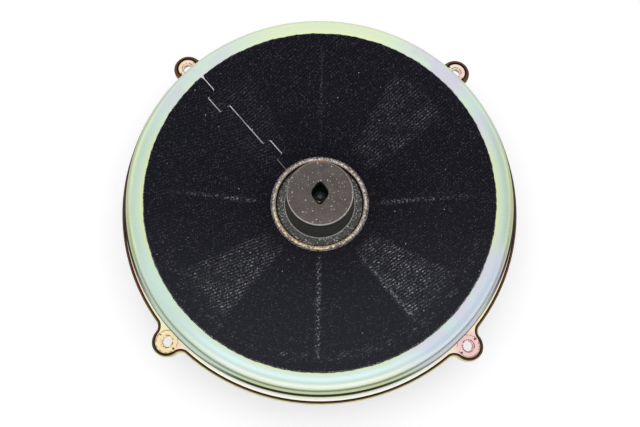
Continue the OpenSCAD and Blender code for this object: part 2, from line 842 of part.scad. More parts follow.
// A tube swept along points in an upright plane, as one closed mesh
module lead(side) {
    sides = 8;
    count = len(lead_route);
    function heading(i) =
        let (a = lead_route[max(i - 1, 0)], b = lead_route[min(i + 1, count - 1)])
        atan2(b.y - a.y, b.x - a.x);
    rings = [
        for (i = [0:count - 1], k = [0:sides - 1])
            let (w = 360 * k / sides, n = heading(i) + 90, q = lead_d / 2 * cos(w))
            [lead_route[i].x + q * cos(n), lead_d / 2 * sin(w), lead_route[i].y + q * sin(n)]
    ];
    walls = [
        for (i = [0:count - 2], k = [0:sides - 1])
            let (a = i * sides + k, b = i * sides + (k + 1) % sides)
            [a, b, b + sides, a + sides]
    ];
    ends = [[for (k = [sides - 1:-1:0]) k], [for (k = [0:sides - 1]) (count - 1) * sides + k]];
    color("peru")
    rotate(board_turn) translate([0, side * tag_pitch / 2, 0]) polyhedron(rings, concat(walls, ends));
}

module tinsel_lead_positive() {
    lead(1);
}

module tinsel_lead_negative() {
    lead(-1);
}

module lead_eyelets() {
    color("gold")
    at_eyelets()
        rotate_extrude()
            polygon([
                [0, -cone_t - glue - eyelet_head_t], [eyelet_head_r, -cone_t - glue - eyelet_head_t],
                [eyelet_head_r, -cone_t - glue], [eyelet_r, -cone_t - glue], [eyelet_r, eyelet_lift],
                [eyelet_head_r, eyelet_lift], [eyelet_head_r, eyelet_lift + eyelet_head_t],
                [0, eyelet_lift + eyelet_head_t]
            ]);
}

// Places a child's z along the grommet's axis, with its origin on the wall's outer face
module grommet_axis() {
    translate([0, wall_r, flange_h + grommet_up]) rotate([-90, 0, 0]) children();
}

module wire_grommet() {
    lip_r = grommet_d / 2 + 0.9;
    bore_r = grommet_d / 2 - 0.8;
    lip_t = 0.5;
    tail_t = 1;
    tail_z = -sheet_t - 0.3;
    color("#1a1a1a")
    grommet_axis()
        rotate_extrude()
            polygon([
                [bore_r, tail_z - tail_t], [lip_r, tail_z - tail_t], [lip_r, tail_z],
                [grommet_d / 2, tail_z], [grommet_d / 2, glue], [lip_r, glue], [lip_r, lip_t],
                [bore_r, lip_t]
            ]);
}

basket_frame();
acoustic_cloth();
magnet_cover();
front_plate();
yoke_pot();
magnet();
pole_piece();
pole_bolt();
pole_nut();
plate_screws();
coil_former();
voice_coil();
spider();
spider_ring();
cone();
dust_cap();
surround();
gasket();
terminal_board();
terminal_positive();
terminal_negative();
terminal_rivets();
tinsel_lead_positive();
tinsel_lead_negative();
lead_eyelets();
wire_grommet();
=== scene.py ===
# %% [markdown]
# # A shallow car woofer, seen from its motor side
# The object is a pressed steel frame with a yellow zinc finish, closed by a black cloth cone, with a moulded
# cover over its motor in the middle. The packed CAD model gives every piece its place and its size, and this
# lesson dresses it: metal that shines green, lilac and pink, cloth with a jigsaw seam and worn ribs, dusty
# plastic. Sizes are in millimetres and MM turns them into the scene's metres, in which the lamps are placed.

# %% Load the frame
import math

import bmesh
import bpy
import numpy as np
from mathutils import Matrix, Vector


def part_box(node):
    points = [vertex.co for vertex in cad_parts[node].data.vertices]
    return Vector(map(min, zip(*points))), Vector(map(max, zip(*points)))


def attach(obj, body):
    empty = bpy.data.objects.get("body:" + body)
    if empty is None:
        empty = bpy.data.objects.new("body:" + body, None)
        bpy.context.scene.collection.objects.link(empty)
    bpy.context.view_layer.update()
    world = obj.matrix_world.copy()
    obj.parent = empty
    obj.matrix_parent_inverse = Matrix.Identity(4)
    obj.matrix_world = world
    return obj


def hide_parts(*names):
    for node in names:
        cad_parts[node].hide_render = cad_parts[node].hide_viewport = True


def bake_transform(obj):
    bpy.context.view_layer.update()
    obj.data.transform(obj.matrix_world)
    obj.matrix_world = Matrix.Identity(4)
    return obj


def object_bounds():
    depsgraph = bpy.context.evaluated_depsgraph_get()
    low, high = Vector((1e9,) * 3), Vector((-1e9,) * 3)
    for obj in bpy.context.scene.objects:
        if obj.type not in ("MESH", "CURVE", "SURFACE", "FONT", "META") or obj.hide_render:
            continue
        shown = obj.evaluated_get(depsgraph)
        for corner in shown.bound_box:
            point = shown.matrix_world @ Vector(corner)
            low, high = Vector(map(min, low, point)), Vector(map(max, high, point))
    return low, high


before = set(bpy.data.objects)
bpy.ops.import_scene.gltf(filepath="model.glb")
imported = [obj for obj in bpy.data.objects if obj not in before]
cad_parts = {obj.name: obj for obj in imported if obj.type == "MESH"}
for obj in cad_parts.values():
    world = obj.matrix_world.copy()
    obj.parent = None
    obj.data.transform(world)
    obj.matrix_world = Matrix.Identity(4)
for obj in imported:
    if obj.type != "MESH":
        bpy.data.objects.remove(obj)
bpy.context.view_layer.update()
MM = 0.001

# %% [markdown]
# ## Camera
# The photograph was taken from 75 degrees above the table, from the near side, with a lens of about 35 mm and
# the picture turned a degree and a half clockwise. A fit to the circles of the frame gives the numbers. The
# camera could be aimed with a constraint, but three axes worked out and put into its matrix keep it
# exact.

# %% Camera at the photograph's angle
ELEVATION = math.radians(74.95)
ROLL = math.radians(1.44)
TURN = math.radians(0.57)
AIM = np.array([0.33, -9.77, 4.0]) * MM
REACH = 401.5 * MM
SENSOR_MM = 36
FOCAL_PX, PICTURE_PX = 628, 640

back = np.array([0, -math.cos(ELEVATION), math.sin(ELEVATION)])
right = np.array([1.0, 0, 0])
up = np.cross(back, right)
turned_right = math.cos(ROLL) * right + math.sin(ROLL) * up
turned_up = math.cos(ROLL) * up - math.sin(ROLL) * right
about_z = np.array([[math.cos(TURN), math.sin(TURN), 0], [-math.sin(TURN), math.cos(TURN), 0], [0, 0, 1]])

camera = bpy.data.objects.new("camera", bpy.data.cameras.new("camera"))
bpy.context.scene.collection.objects.link(camera)
camera.data.sensor_width = SENSOR_MM
camera.data.lens = SENSOR_MM * FOCAL_PX / PICTURE_PX
pose = np.eye(4)
pose[:3, :3] = about_z @ np.stack([turned_right, turned_up, back], axis=1)
pose[:3, 3] = about_z @ (AIM + REACH * back)
camera.matrix_world = Matrix(pose.tolist())
bpy.context.scene.camera = camera
print("camera stands at", np.round(pose[:3, 3], 3))

# %% [markdown]
# ## Surfaces from arrays
# Every new piece is a grid of points. A grid is a function of two parameters, worked out as whole arrays, so
# there is no loop over vertices. One function turns a grid into quads and writes them in bulk, another
# carries radii and heights round the axis, and a third makes the round stretches of a profile.


# %% Grid to mesh
def add_mesh(name, points, faces):
    """A smooth mesh object from points (n, 3) and faces (m, 4), all written with foreach_set."""
    mesh = bpy.data.meshes.new(name)
    points, faces = np.asarray(points, np.float32), np.asarray(faces, np.int32)
    count, sides = faces.shape
    mesh.vertices.add(len(points))
    mesh.vertices.foreach_set("co", points.ravel())
    mesh.loops.add(count * sides)
    mesh.loops.foreach_set("vertex_index", faces.ravel())
    mesh.polygons.add(count)
    mesh.polygons.foreach_set("loop_start", np.arange(0, count * sides, sides, dtype=np.int32))
    mesh.polygons.foreach_set("use_smooth", np.ones(count, bool))
    mesh.update(calc_edges=True)
    mesh.validate()
    piece = bpy.data.objects.new(name, mesh)
    bpy.context.scene.collection.objects.link(piece)
    return piece


def grid_faces(rows, columns, wrap_rows=False, wrap_columns=False):
    """Quads of a grid numbered row by row. A wrapped side joins its last line to its first."""
    r = np.arange(rows if wrap_rows else rows - 1)[:, None]
    c = np.arange(columns if wrap_columns else columns - 1)[None, :]
    r2, c2 = (r + 1) % rows, (c + 1) % columns
    quads = np.stack([r * columns + c, r * columns + c2, r2 * columns + c2, r2 * columns + c], axis=-1)
    return quads.reshape(-1, 4)


print("a grid of 3 by 4 points has", len(grid_faces(3, 4)), "quads, wrapped", len(grid_faces(3, 4, True)))


# %% Round the axis
def around(radius, bearing, height):
    """Points in metres: x = radius cos(bearing), y = radius sin(bearing), z = height, over one grid."""
    x, y, z = np.broadcast_arrays(radius * np.cos(bearing), radius * np.sin(bearing), height)
    return np.stack([x, y, z], axis=-1).reshape(-1, 3) * MM


def sweep(name, profile, turns):
    """A closed profile of (radius, height) pairs carried round the axis over those bearings. It runs outwards
    along its top and back along its underside, and so faces outwards."""
    radius, height = np.asarray(profile, float).T
    faces = grid_faces(len(profile), len(turns), wrap_rows=True)
    return add_mesh(name, around(radius[:, None], turns, height[:, None]), faces[:, ::-1])


def arc(x, z, r, a, b, steps):
    """Points on a circle about (x, z) from angle a to angle b, in degrees: x + r cos t, z + r sin t."""
    t = np.radians(np.linspace(a, b, steps + 1))
    return np.stack([x + r * np.cos(t), z + r * np.sin(t)], axis=1).tolist()


print("a quarter of a circle in two steps", np.round(arc(0, 0, 1, 0, 90, 2), 2).tolist())


# %% Edges, bodies and finishes
FACE_WEIGHT = 80


def sharpen(piece, degrees):
    """Edges bent by more than that stay sharp. A modifier weights normals by area, so flats stay flat."""
    piece.data.set_sharp_from_angle(angle=math.radians(degrees))
    weighted = piece.modifiers.new("weighted", "WEIGHTED_NORMAL")
    weighted.keep_sharp = True
    weighted.weight = FACE_WEIGHT


def dress(piece, body, slot_name, finish, *nodes):
    """A piece rides on its body, takes its finish and stands for the CAD nodes that it replaces."""
    piece.data.materials.clear()
    piece.data.materials.append(finish)
    if body:
        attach(piece, body)
    if nodes:
        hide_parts(*nodes)
    return piece


print("mesh helpers ready")

# %% [markdown]
# ## Shader maths as plain expressions
# A wear mask or a weave is a formula, and a formula reads best as one. `Tone` wraps a socket and answers to
# the usual operators by adding Math nodes, so `(1 - dust) * 0.4` builds the nodes it says. `Wiring` has one
# method for every node, and `Finish` is the wiring of a material.


# %% Tone
class Tone:
    """What changes over a surface: one output socket. Its operators add Math nodes and are for numbers."""

    def __init__(self, wiring, socket):
        self.wiring, self.socket = wiring, socket

    def maths(self, operation, *values):
        return self.wiring.node("ShaderNodeMath", {"operation": operation}, *values)[0]

    def __add__(self, other):
        return self.maths("ADD", self, other)

    def __sub__(self, other):
        return self.maths("SUBTRACT", self, other)

    def __rsub__(self, other):
        return self.maths("SUBTRACT", other, self)

    def __mul__(self, other):
        return self.maths("MULTIPLY", self, other)

    def __truediv__(self, other):
        return self.maths("DIVIDE", self, other)

    def __rtruediv__(self, other):
        return self.maths("DIVIDE", other, self)

    def __pow__(self, other):
        return self.maths("POWER", self, other)

    def __rpow__(self, other):
        return self.maths("POWER", other, self)

    __radd__ = __add__
    __rmul__ = __mul__

    def wave(self):
        """The sine, spread over 0 to 1."""
        return self.maths("SINE", self) * 0.5 + 0.5

    def size(self):
        return self.maths("ABSOLUTE", self)

    def most(self, other):
        return self.maths("MAXIMUM", self, other)

    def least(self, other):
        return self.maths("MINIMUM", self, other)

    def rise(self, low, high):
        """0 below low, 1 above high, and a smooth step between them. With low above high it falls."""
        if low > high:
            return 1 - self.rise(high, low)
        settings = {"interpolation_type": "SMOOTHSTEP", "clamp": True}
        return self.wiring.node("ShaderNodeMapRange", settings, self, low, high, 0.0, 1.0)[0]

    def near(self, middle, reach):
        """1 at middle, falling smoothly to 0 at reach from it."""
        return (self - middle).size().rise(reach, 0.0)


print("Tone has", sum(callable(part) for part in vars(Tone).values()), "methods")


# %% Wiring
class Wiring:
    """Adds nodes to the tree of a material or of the world."""

    def __init__(self, tree):
        self.tree = tree

    def node(self, kind, settings, *values, **named):
        """Adds a node: settings are set first, then the sockets by order or by name, as values or links."""
        made = self.tree.nodes.new(kind)
        for key, value in settings.items():
            if key == "stops":
                elements = made.color_ramp.elements
                while len(elements) < len(value):
                    elements.new(0.5)
                for element, (at, colour) in zip(elements, value):
                    element.position, element.color = at, (*colour, 1.0)
            else:
                setattr(made, key, value)
        pairs = [(made.inputs[i], v) for i, v in enumerate(values)]
        pairs += [(self.socket_of(made, k), v) for k, v in named.items()]
        for socket, value in pairs:
            if isinstance(value, Tone):
                self.tree.links.new(value.socket, socket)
            else:
                socket.default_value = value
        return [Tone(self, s) for s in made.outputs if s.enabled]

    def socket_of(self, made, name):
        """The enabled input of that name: a Mix node has one for each data type."""
        return next(s for s in made.inputs if s.name == name.replace("_", " ") and s.enabled)

    def mix(self, share, a, b, how="MIX"):
        """Colour b over colour a, by that share."""
        a = (*a, 1.0) if isinstance(a, tuple) else a
        b = (*b, 1.0) if isinstance(b, tuple) else b
        return self.node("ShaderNodeMix", {"data_type": "RGBA", "blend_type": how}, Factor=share, A=a, B=b)[0]

    def ramp(self, share, *stops):
        """A colour from stops of (position, colour), read at that share."""
        return self.node("ShaderNodeValToRGB", {"stops": stops}, share)[0]


print("Wiring ready")


# %% Finish
class Finish(Wiring):
    """A Principled material whose patterns read Object coordinates: x, y, z and r are in millimetres."""

    def __init__(self, name, **constants):
        self.material = bpy.data.materials.new(name)
        self.material.use_nodes = True
        super().__init__(self.material.node_tree)
        self.surface = self.tree.nodes["Principled BSDF"]
        for socket_name, value in constants.items():
            self.surface.inputs[socket_name.replace("_", " ")].default_value = value
        coordinates = self.node("ShaderNodeTexCoord", {})
        self.normal, self.place = coordinates[1], coordinates[3]
        x, y, z = self.node("ShaderNodeSeparateXYZ", {}, self.place)
        self.x, self.y, self.z = x / MM, y / MM, z / MM
        self.r = (self.x * self.x + self.y * self.y) ** 0.5

    def toward(self, degrees):
        """Cosine of the angle between a point's bearing round the axis and that bearing."""
        a = math.radians(degrees)
        return (self.x * math.cos(a) + self.y * math.sin(a)) / (self.r + 0.001)

    def moved(self, place, scale=(1.0, 1.0, 1.0)):
        """The place stretched, then moved in metres."""
        return self.node("ShaderNodeMapping", {}, self.place, place, (0, 0, 0), scale)[0]

    def noise(self, per_mm, detail=2.0, rough=0.5, where=None):
        """Noise with that many features to the millimetre, spread about 0.5."""
        sockets = {"Vector": where or self.place, "Scale": per_mm / MM, "Detail": detail, "Roughness": rough}
        return self.node("ShaderNodeTexNoise", {}, **sockets)[0]

    def specks(self, per_mm, size, share, where=None):
        """Round specks up to that size, as a share of a cell, in that share of the cells."""
        sockets = {"Vector": where or self.place, "Scale": per_mm / MM}
        distance, colour = self.node("ShaderNodeTexVoronoi", {}, **sockets)[:2]
        luck = self.node("ShaderNodeSeparateColor", {}, colour)[0]
        return distance.rise(size, size * 0.3) * luck.rise(share, share * 0.6)

    def use(self, bump=None, depth_mm=0.1, **sockets):
        """Links what varies to the Principled shader, and a height in 0 to 1 to its normal."""
        for name, value in sockets.items():
            self.tree.links.new(value.socket, self.surface.inputs[name.replace("_", " ")])
        if bump:
            out = self.node("ShaderNodeBump", {}, Strength=1.0, Distance=depth_mm * MM, Height=bump)[0]
            self.tree.links.new(out.socket, self.surface.inputs["Normal"])
        return self.material


print("shader helpers ready")

# %% [markdown]
# ## Yellow zinc on the pressed steel's shoulder
# A chromate film over zinc is so thin that it shows interference colours. They follow the film's thickness,
# which changes with the bend of the sheet: pale yellow green beside the cloth, mint and lilac along the
# shoulder, yellow green where it turns down. The shader could have a thin film, which the export loses, so a
# ramp over the radius, moved by slow noise, paints the same bands.

# %% Sizes that the zinc follows
SHOULDER_IN, SHOULDER_WIDTH = 107.0, 16.0
WALL_R = 122.5
FLANGE_Z = 4.0
ROLLED_R = 2.2
LUG_CIRCLE_R = 129.2
NEAR, FAR = 270, 90  # bearings of the two sides, in degrees
print("the shoulder's colours run from", SHOULDER_IN, "to", SHOULDER_IN + SHOULDER_WIDTH, "mm")


# %% Bands over the radius
def shoulder_bands(f, drift, cloud):
    """Colours over the radius, which slow noise moves in and out."""
    bend = f.r + (drift - 0.5) * 4.0 + (cloud - 0.5) * 1.2
    return f.ramp(
        (bend - SHOULDER_IN) / SHOULDER_WIDTH,
        (0.00, (0.64, 0.68, 0.36)),
        (0.14, (0.69, 0.79, 0.44)),
        (0.26, (0.59, 0.73, 0.50)),
        (0.36, (0.54, 0.70, 0.56)),
        (0.46, (0.51, 0.66, 0.58)),
        (0.56, (0.54, 0.69, 0.50)),
        (0.66, (0.72, 0.84, 0.54)),
        (0.76, (0.58, 0.68, 0.38)),
    )


def shoulder_patches(f, bands):
    """Pale, mint, lilac and blue patches over the bands, at the bearings where the photograph has them."""
    bands = f.mix(f.toward(FAR).rise(0.45, 0.95) * 0.65, bands, (0.82, 0.92, 0.58))
    upper = f.toward(42).rise(0.86, 0.98).most(f.toward(135).rise(0.85, 0.98))
    bands = f.mix(upper * 0.5, bands, (0.60, 0.78, 0.77))
    lower_right = f.toward(318)
    bands = f.mix(lower_right.rise(0.88, 0.97) * 0.75, bands, (0.60, 0.74, 0.76))
    lilac = f.toward(40).rise(0.88, 0.99).most(f.toward(320).rise(0.86, 0.99))
    lilac = lilac.most(f.toward(137).rise(0.94, 1.0) * 0.7)
    lilac = lilac * f.noise(0.06, 2.0, where=f.moved((0.3, 0.1, 0.0))).rise(0.36, 0.58)
    bands = f.mix(lilac * 0.8, bands, (0.66, 0.60, 0.76))
    # At the lower right: a blue stripe, and a near-white stripe that is a painted reflection.
    stripes = lower_right.rise(0.9, 0.99) * 0.8
    bands = f.mix(stripes * f.r.near(115.0, 2.5), bands, (0.48, 0.62, 0.76))
    bands = f.mix(stripes * f.r.near(118.0, 1.8), bands, (0.80, 0.92, 1.0))
    return f.mix(f.toward(225).rise(0.88, 0.97) * 0.6, bands, (0.58, 0.77, 0.72))


print("shoulder bands ready")

# %% [markdown]
# ## What the shoulder mirrors
# On the near side the shoulder mirrors the bright room as pale rings, and where it turns down into the wall
# it mirrors the dark edge of the table as thin lines. Real mirroring would need that room in the scene, and
# the lines would be lost in every other light. Here they are rings of colour, each at a radius with a reach.

# %% Near side and lines
NEAR_RINGS = [
    (109.5, 2.0, 0.8, (0.70, 0.82, 0.62)),
    (112.6, 3.2, 0.9, (0.74, 0.93, 0.96)),
    (116.6, 2.2, 0.8, (0.97, 1.00, 0.93)),
]


def shoulder_colour(f, drift, cloud):
    """The mask of the painted dark line at the shoulder's foot, and the colours of the whole shoulder with
    its painted reflections.
    """
    colour = shoulder_patches(f, shoulder_bands(f, drift, cloud))
    near_side = f.toward(266).rise(0.72, 0.96)
    # Painted reflection: pale rings on the near side.
    for radius, reach, share, ring in NEAR_RINGS:
        colour = f.mix(near_side * f.r.near(radius, reach) * share, colour, ring)
    to_near = f.toward(NEAR)
    facing = to_near.rise(0.8, 0.96)
    sides = f.toward(0).size().rise(0.75, 0.95)
    # Painted reflection: a dark ring where the shoulder mirrors the table's edge.
    horizon = f.r.near(119.0, 0.9) * to_near.rise(0.0, 0.5).most(sides * 0.8)
    colour = f.mix(horizon * (0.4 + facing * 0.2), colour, (0.19, 0.22, 0.22))
    # Painted reflection: the right side of the shoulder is darker.
    right_side = f.toward(5).rise(0.9, 0.99)
    colour = f.mix(right_side * f.r.near(115.5, 4.0) * 0.4, colour, (0.36, 0.46, 0.36))
    # Painted shade and reflection: the dark line where the shoulder turns down into the wall.
    line = f.r.near(121.5, 1.0).rise(0.0, 0.5) * facing
    line = line.most(f.r.near(121.9, 0.5).rise(0.0, 0.5) * 0.8)
    line = line.most(sides * f.r.rise(119.8, 120.4))
    foot = line * to_near.rise(-0.5, -0.1) * f.z.rise(10.2, 11.6)
    return foot, f.mix(foot, colour, (0.050, 0.028, 0.024))


print("rings on the near side", len(NEAR_RINGS))

# %% [markdown]
# ## The flange and its rolled edge
# The flange's film is thicker and shines straw, peach and pink. Its edge is rolled down, and a roll mirrors
# the table below, which is painted on it as a reflection: dark brown bands, a gold fringe, and a yellow skirt
# on the near side. The bands follow the distance out over the roll, which the depth under the flange gives,
# so they also run round the necks and the lugs, where no single radius would do.


# %% Rolled edge
def rolled_edge(f, cloud):
    """The mask and the painted reflection of the rolled edge. The distance out over the roll is sqrt(d (2 R -
    d)) for a depth d under the flange. Where the roll faces the near side it is painted pale on its outside."""
    depth = (FLANGE_Z - f.z).most(0.0)
    turned = depth.least(ROLLED_R)
    out = (turned * (2 * ROLLED_R - turned)) ** 0.5
    normal_x, normal_y = f.node("ShaderNodeSeparateXYZ", {}, f.normal)[:2]
    faces_near = (0 - normal_y) / ((normal_x * normal_x + normal_y * normal_y) ** 0.5 + 0.001)
    near_side = faces_near.rise(0.35, 0.9)
    mask = out.rise(0.06, 0.26) * f.r.rise(WALL_R + 1.5, WALL_R + 2.1)
    # Painted reflection of the table over the roll: dark bands, a brown band and a gold fringe.
    colours = f.ramp(
        out / ROLLED_R + (cloud - 0.5) * 0.08,
        (0.00, (0.012, 0.006, 0.004)),
        (0.36, (0.014, 0.007, 0.004)),
        (0.48, (0.190, 0.095, 0.050)),
        (0.64, (0.130, 0.070, 0.036)),
        (0.74, (0.018, 0.009, 0.005)),
        (0.86, (0.050, 0.028, 0.012)),
        (0.97, (0.480, 0.360, 0.120)),
    )
    # Painted reflection: where the roll faces the near side it is pale, and the skirt below is yellow there.
    colours = f.mix(near_side * out.rise(1.35, 1.75), colours, (0.80, 0.80, 0.48))
    skirt = f.mix(near_side, (0.30, 0.21, 0.09), (0.92, 0.88, 0.60))
    return mask, f.mix(depth.rise(ROLLED_R, ROLLED_R + 0.6), colours, skirt)


print("the roll has a radius of", ROLLED_R, "mm")

# %% Flange and lugs
LUG_TINTS = [
    (315, 0.985, 11.0, 7.0, (0.88, 0.54, 0.56)),
    (225, 0.985, 8.0, 6.0, (0.96, 0.77, 0.42)),
    (41, 0.990, 8.0, 6.0, (0.93, 0.68, 0.62)),
]


def lug_places(f):
    """Distance from the nearest lug's hole, and the offsets across and along that lug."""
    at = LUG_CIRCLE_R / math.sqrt(2)
    over_x, over_y = f.x.size() - at, f.y.size() - at
    across = (over_x - over_y).size() / math.sqrt(2)
    along = (over_x + over_y).size() / math.sqrt(2)
    return (over_x * over_x + over_y * over_y) ** 0.5, across, along


def flange_colour(f, from_hole):
    """Straw, peach and pale green clouds, a tint on three lugs, and a paler near side and inner corner as
    painted reflection.
    """
    colour = f.ramp(
        f.noise(0.06, 2.0, where=f.moved((0.1, 0.4, 0.0))),
        (0.34, (0.86, 0.86, 0.48)),
        (0.45, (0.93, 0.80, 0.52)),
        (0.55, (0.90, 0.62, 0.48)),
        (0.66, (0.84, 0.84, 0.64)),
    )
    for bearing, begins, outside, inside, tint in LUG_TINTS:
        on_lug = f.toward(bearing).rise(begins, 0.998) * from_hole.rise(outside, inside)
        colour = f.mix(on_lug * 0.8, colour, tint)
    # Painted reflection: the near side and the inner corner are paler.
    colour = f.mix(f.toward(NEAR).rise(0.72, 0.93), colour, (0.97, 0.96, 0.88))
    return f.mix(f.r.rise(WALL_R + 2.1, WALL_R + 0.4) * 0.8, colour, (0.82, 0.92, 0.76))


def lug_painted_shade(f, from_hole, across, along):
    """Painted shade: the seat's groove and the hole's lip as broken dark rings, and a nick on either side of
    the seat.
    """
    dashes = f.noise(0.7, 1.0).rise(0.42, 0.5)
    seat = from_hole.near(6.6, 0.45) * 0.8 * dashes
    groove = from_hole.near(7.2, 0.5) * f.r.rise(LUG_CIRCLE_R + 0.8, LUG_CIRCLE_R + 2.3)
    lip = from_hole.near(3.7, 0.55) * dashes
    nicks = (across.near(5.9, 1.1) * along.near(0.0, 1.0)).rise(0.1, 0.4)
    return seat.most(groove).most(nicks * f.noise(0.9, 1.0).rise(0.3, 0.5)).most(lip)


def far_lugs(f, from_hole, on_flange):
    """The far lugs show their whole roll from above: its mask, and its painted reflection as dark, brown and
    gold rings out from the seat.
    """
    mask = f.y.rise(60.0, 70.0) * from_hole.rise(11.0, 10.0) * on_flange
    rings = f.ramp(
        (from_hole - 6.2) / 3.2,
        (0.00, (0.030, 0.015, 0.010)),
        (0.10, (0.010, 0.005, 0.004)),
        (0.28, (0.012, 0.006, 0.005)),
        (0.40, (0.120, 0.058, 0.038)),
        (0.56, (0.170, 0.085, 0.055)),
        (0.70, (0.110, 0.055, 0.030)),
        (0.84, (0.120, 0.070, 0.035)),
        (1.00, (0.400, 0.300, 0.140)),
    )
    return mask, rings


print("lugs with a tint of their own", [tint[0] for tint in LUG_TINTS])

# %% [markdown]
# ## The beaded collar and the whole finish
# The collar round the hub is beaded. Its crest carries a painted highlight, golden on the near side, and its
# flanks are brown and fuzzy. A ring of copper lies inside it, and then the gap round the plate, painted black
# as shade. The frame could have a material for each zone, but the zones run into each other, so one material
# holds them, and masks over the radius and the height say where each begins.


# %% Zinc finish
def collar_colour(f):
    """From the outside in: fuzzy brown, a crest with a painted highlight that is golden on the near side,
    copper, and black painted as the gap's shade.
    """
    hub = f.r + (f.noise(0.9, 3.0) - 0.5) * 0.7
    # Painted highlight: the crest is pale, and golden on the near side.
    golden = f.toward(250).rise(0.2, 0.85)
    patches = f.noise(0.62, 3.0, 0.75).rise(0.45, 0.55)
    fuzz = f.mix(patches, (0.13, 0.075, 0.055), (0.50, 0.42, 0.42))
    crest = f.mix(patches, (0.24, 0.19, 0.19), (0.78, 0.88, 0.85))
    crest = f.mix(golden * patches, crest, (1.0, 0.84, 0.52))
    colour = f.mix(hub.rise(31.7, 31.0), fuzz, crest)
    colour = f.mix(hub.near(29.5, 0.5).rise(0.0, 0.5) * 0.85, colour, (0.66, 0.34, 0.13))
    # Painted shade: black in the gap round the plate.
    return f.mix(hub.rise(29.2, 28.9), colour, (0.012, 0.008, 0.006))


def zinc_finish():
    f = Finish("zinc_steel", Coat_Roughness=0.12)
    drift = f.noise(0.018, 2.0)
    cloud = f.noise(0.09, 3.0)
    grain = f.noise(1.6, 3.0, 0.6) * 0.6 + f.noise(6.0, 2.0, 0.6) * 0.4
    from_hole, across, along = lug_places(f)
    on_flange = f.z.rise(FLANGE_Z + 1.2, FLANGE_Z + 0.6)
    foot, shoulder = shoulder_colour(f, drift, cloud)
    colour = f.mix(f.r.rise(WALL_R - 0.2, WALL_R + 0.2), shoulder, flange_colour(f, from_hole))
    # Painted shade on the lugs' seats, hole lips and nicks.
    lug_shade = lug_painted_shade(f, from_hole, across, along) * on_flange
    colour = f.mix(lug_shade * 0.95, colour, (0.045, 0.024, 0.016))
    edge, brown = rolled_edge(f, cloud)
    far_lug, rings = far_lugs(f, from_hole, on_flange)
    # Painted reflection on the rolled edge and on the far lugs' rolls.
    edge = (edge * from_hole.rise(6.7, 7.0)).most(far_lug * from_hole.rise(6.0, 6.3))
    colour = f.mix(edge, colour, f.mix(far_lug, brown, rings))
    hub_zone = f.r.rise(33.5, 32.5)
    colour = f.mix(hub_zone, colour, collar_colour(f))
    corner = f.r.near(WALL_R + 0.7, 1.3) * on_flange
    return f.use(
        Base_Color=f.mix(grain.rise(0.2, 0.8) * 0.08, colour, (0.95, 0.95, 0.9), "OVERLAY"),
        Roughness=0.16 + grain * 0.14 + edge * 0.35 + foot * 0.6 + hub_zone.most(corner) * 0.3,
        Metallic=0.95 + edge * 0.05 - (hub_zone * 0.65).most(corner * 0.5),
        Coat_Weight=(0.1 + cloud * 0.2) * (1 - edge.most(foot)),
        bump=grain,
        depth_mm=0.012,
    )


ZINC = zinc_finish()
print("zinc nodes", len(ZINC.node_tree.nodes))

# %% [markdown]
# ## Taking over the metal frame
# The frame's solid is exact, but its mesh comes as loose flat triangles. A copy with its doubles merged,
# smoothed by angle and weighted by face area keeps flats flat and bends round. A new mesh could be revolved,
# but the lugs, the windows and the rolled edge are already right in the solid.

# %% Smooth copies of the solids
SAME_PLACE = 0.002
COPY_ANGLE = 32


def smooth_copy(node, name):
    """A merged copy of a CAD node: edges sharper than the angle stay sharp, the others shade smoothly."""
    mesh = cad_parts[node].data.copy()
    piece = bpy.data.objects.new(name, mesh)
    bpy.context.scene.collection.objects.link(piece)
    work = bmesh.new()
    work.from_mesh(mesh)
    bmesh.ops.remove_doubles(work, verts=work.verts, dist=SAME_PLACE * MM)
    work.to_mesh(mesh)
    work.free()
    mesh.polygons.foreach_set("use_smooth", np.ones(len(mesh.polygons), bool))
    sharpen(piece, COPY_ANGLE)
    return piece


basket = dress(smooth_copy("basket_frame", "pressed_frame"), "frame", "zinc_steel", ZINC, "basket_frame")
print("frame mesh", len(basket.data.polygons), "faces")

# %% [markdown]
# ## The cloth and its jigsaw seam
# The cloth is cut flat as a ring with a missing sector, rolled into a shallow cone and glued down, and its
# two edges meet in a seam with two tabs that lock like a jigsaw. Here the cone is one grid of rows over the
# radius and columns over the bearing. The seam is where the grid begins and ends, so its line is only an
# offset that depends on the radius: smooth steps move it out and back, and where it runs along the radius a
# slit stays open. A boolean could cut the cloth, but would leave no clean rows at its edges.

# %% Sizes of the cloth
SLOPE = math.radians(20)
DISH_EDGE_R, DISH_EDGE_Z = 108.643, 21.373
CLOTH_IN, CLOTH_OUT, CLOTH_T = 32.4, 108.5, 0.8
GLUE_T, SAG = 0.06, 0.12
WINDOWS_IN, WINDOWS_OUT, WINDOW_FADE = 42, 101, 6
SEAM_TURN, SEAM_FADE = math.radians(135), math.radians(25)
SLIT, LIP = 0.22, 0.12
NOTCH_W, NOTCH_L = 0.9, 2.0
STEP_LENGTH = 1.6
SEAM_STEPS = [(97.2, -7.4), (85.0, 7.4), (53.2, 5.0), (41.2, -5.0)]
OUTER_SHIFT, SHIFT_FROM, SHIFT_LENGTH = 1.0, 96.5, 1.5
EVEN_ROWS, STEP_ROWS, COLUMNS = 58, 13, 541
LIP_PALENESS = [
    (32, 0.3), (40, 0.35), (42, 1), (52, 1), (54, 0.7), (68, 1),
    (72, 0.5), (84, 1), (86, 0.75), (96, 0.8), (98, 1), (109, 1),
]


def dish_height(r):
    """Height of the metal dish at a radius: a straight cone."""
    return DISH_EDGE_Z - (DISH_EDGE_R - r) * math.tan(SLOPE)


def past_step(r, at):
    """A smooth rise from 0 inside a step of the seam to 1 outside it: s s (3 - 2 s)."""
    s = np.clip((r - at) / STEP_LENGTH + 0.5, 0, 1)
    return s * s * (3 - 2 * s)


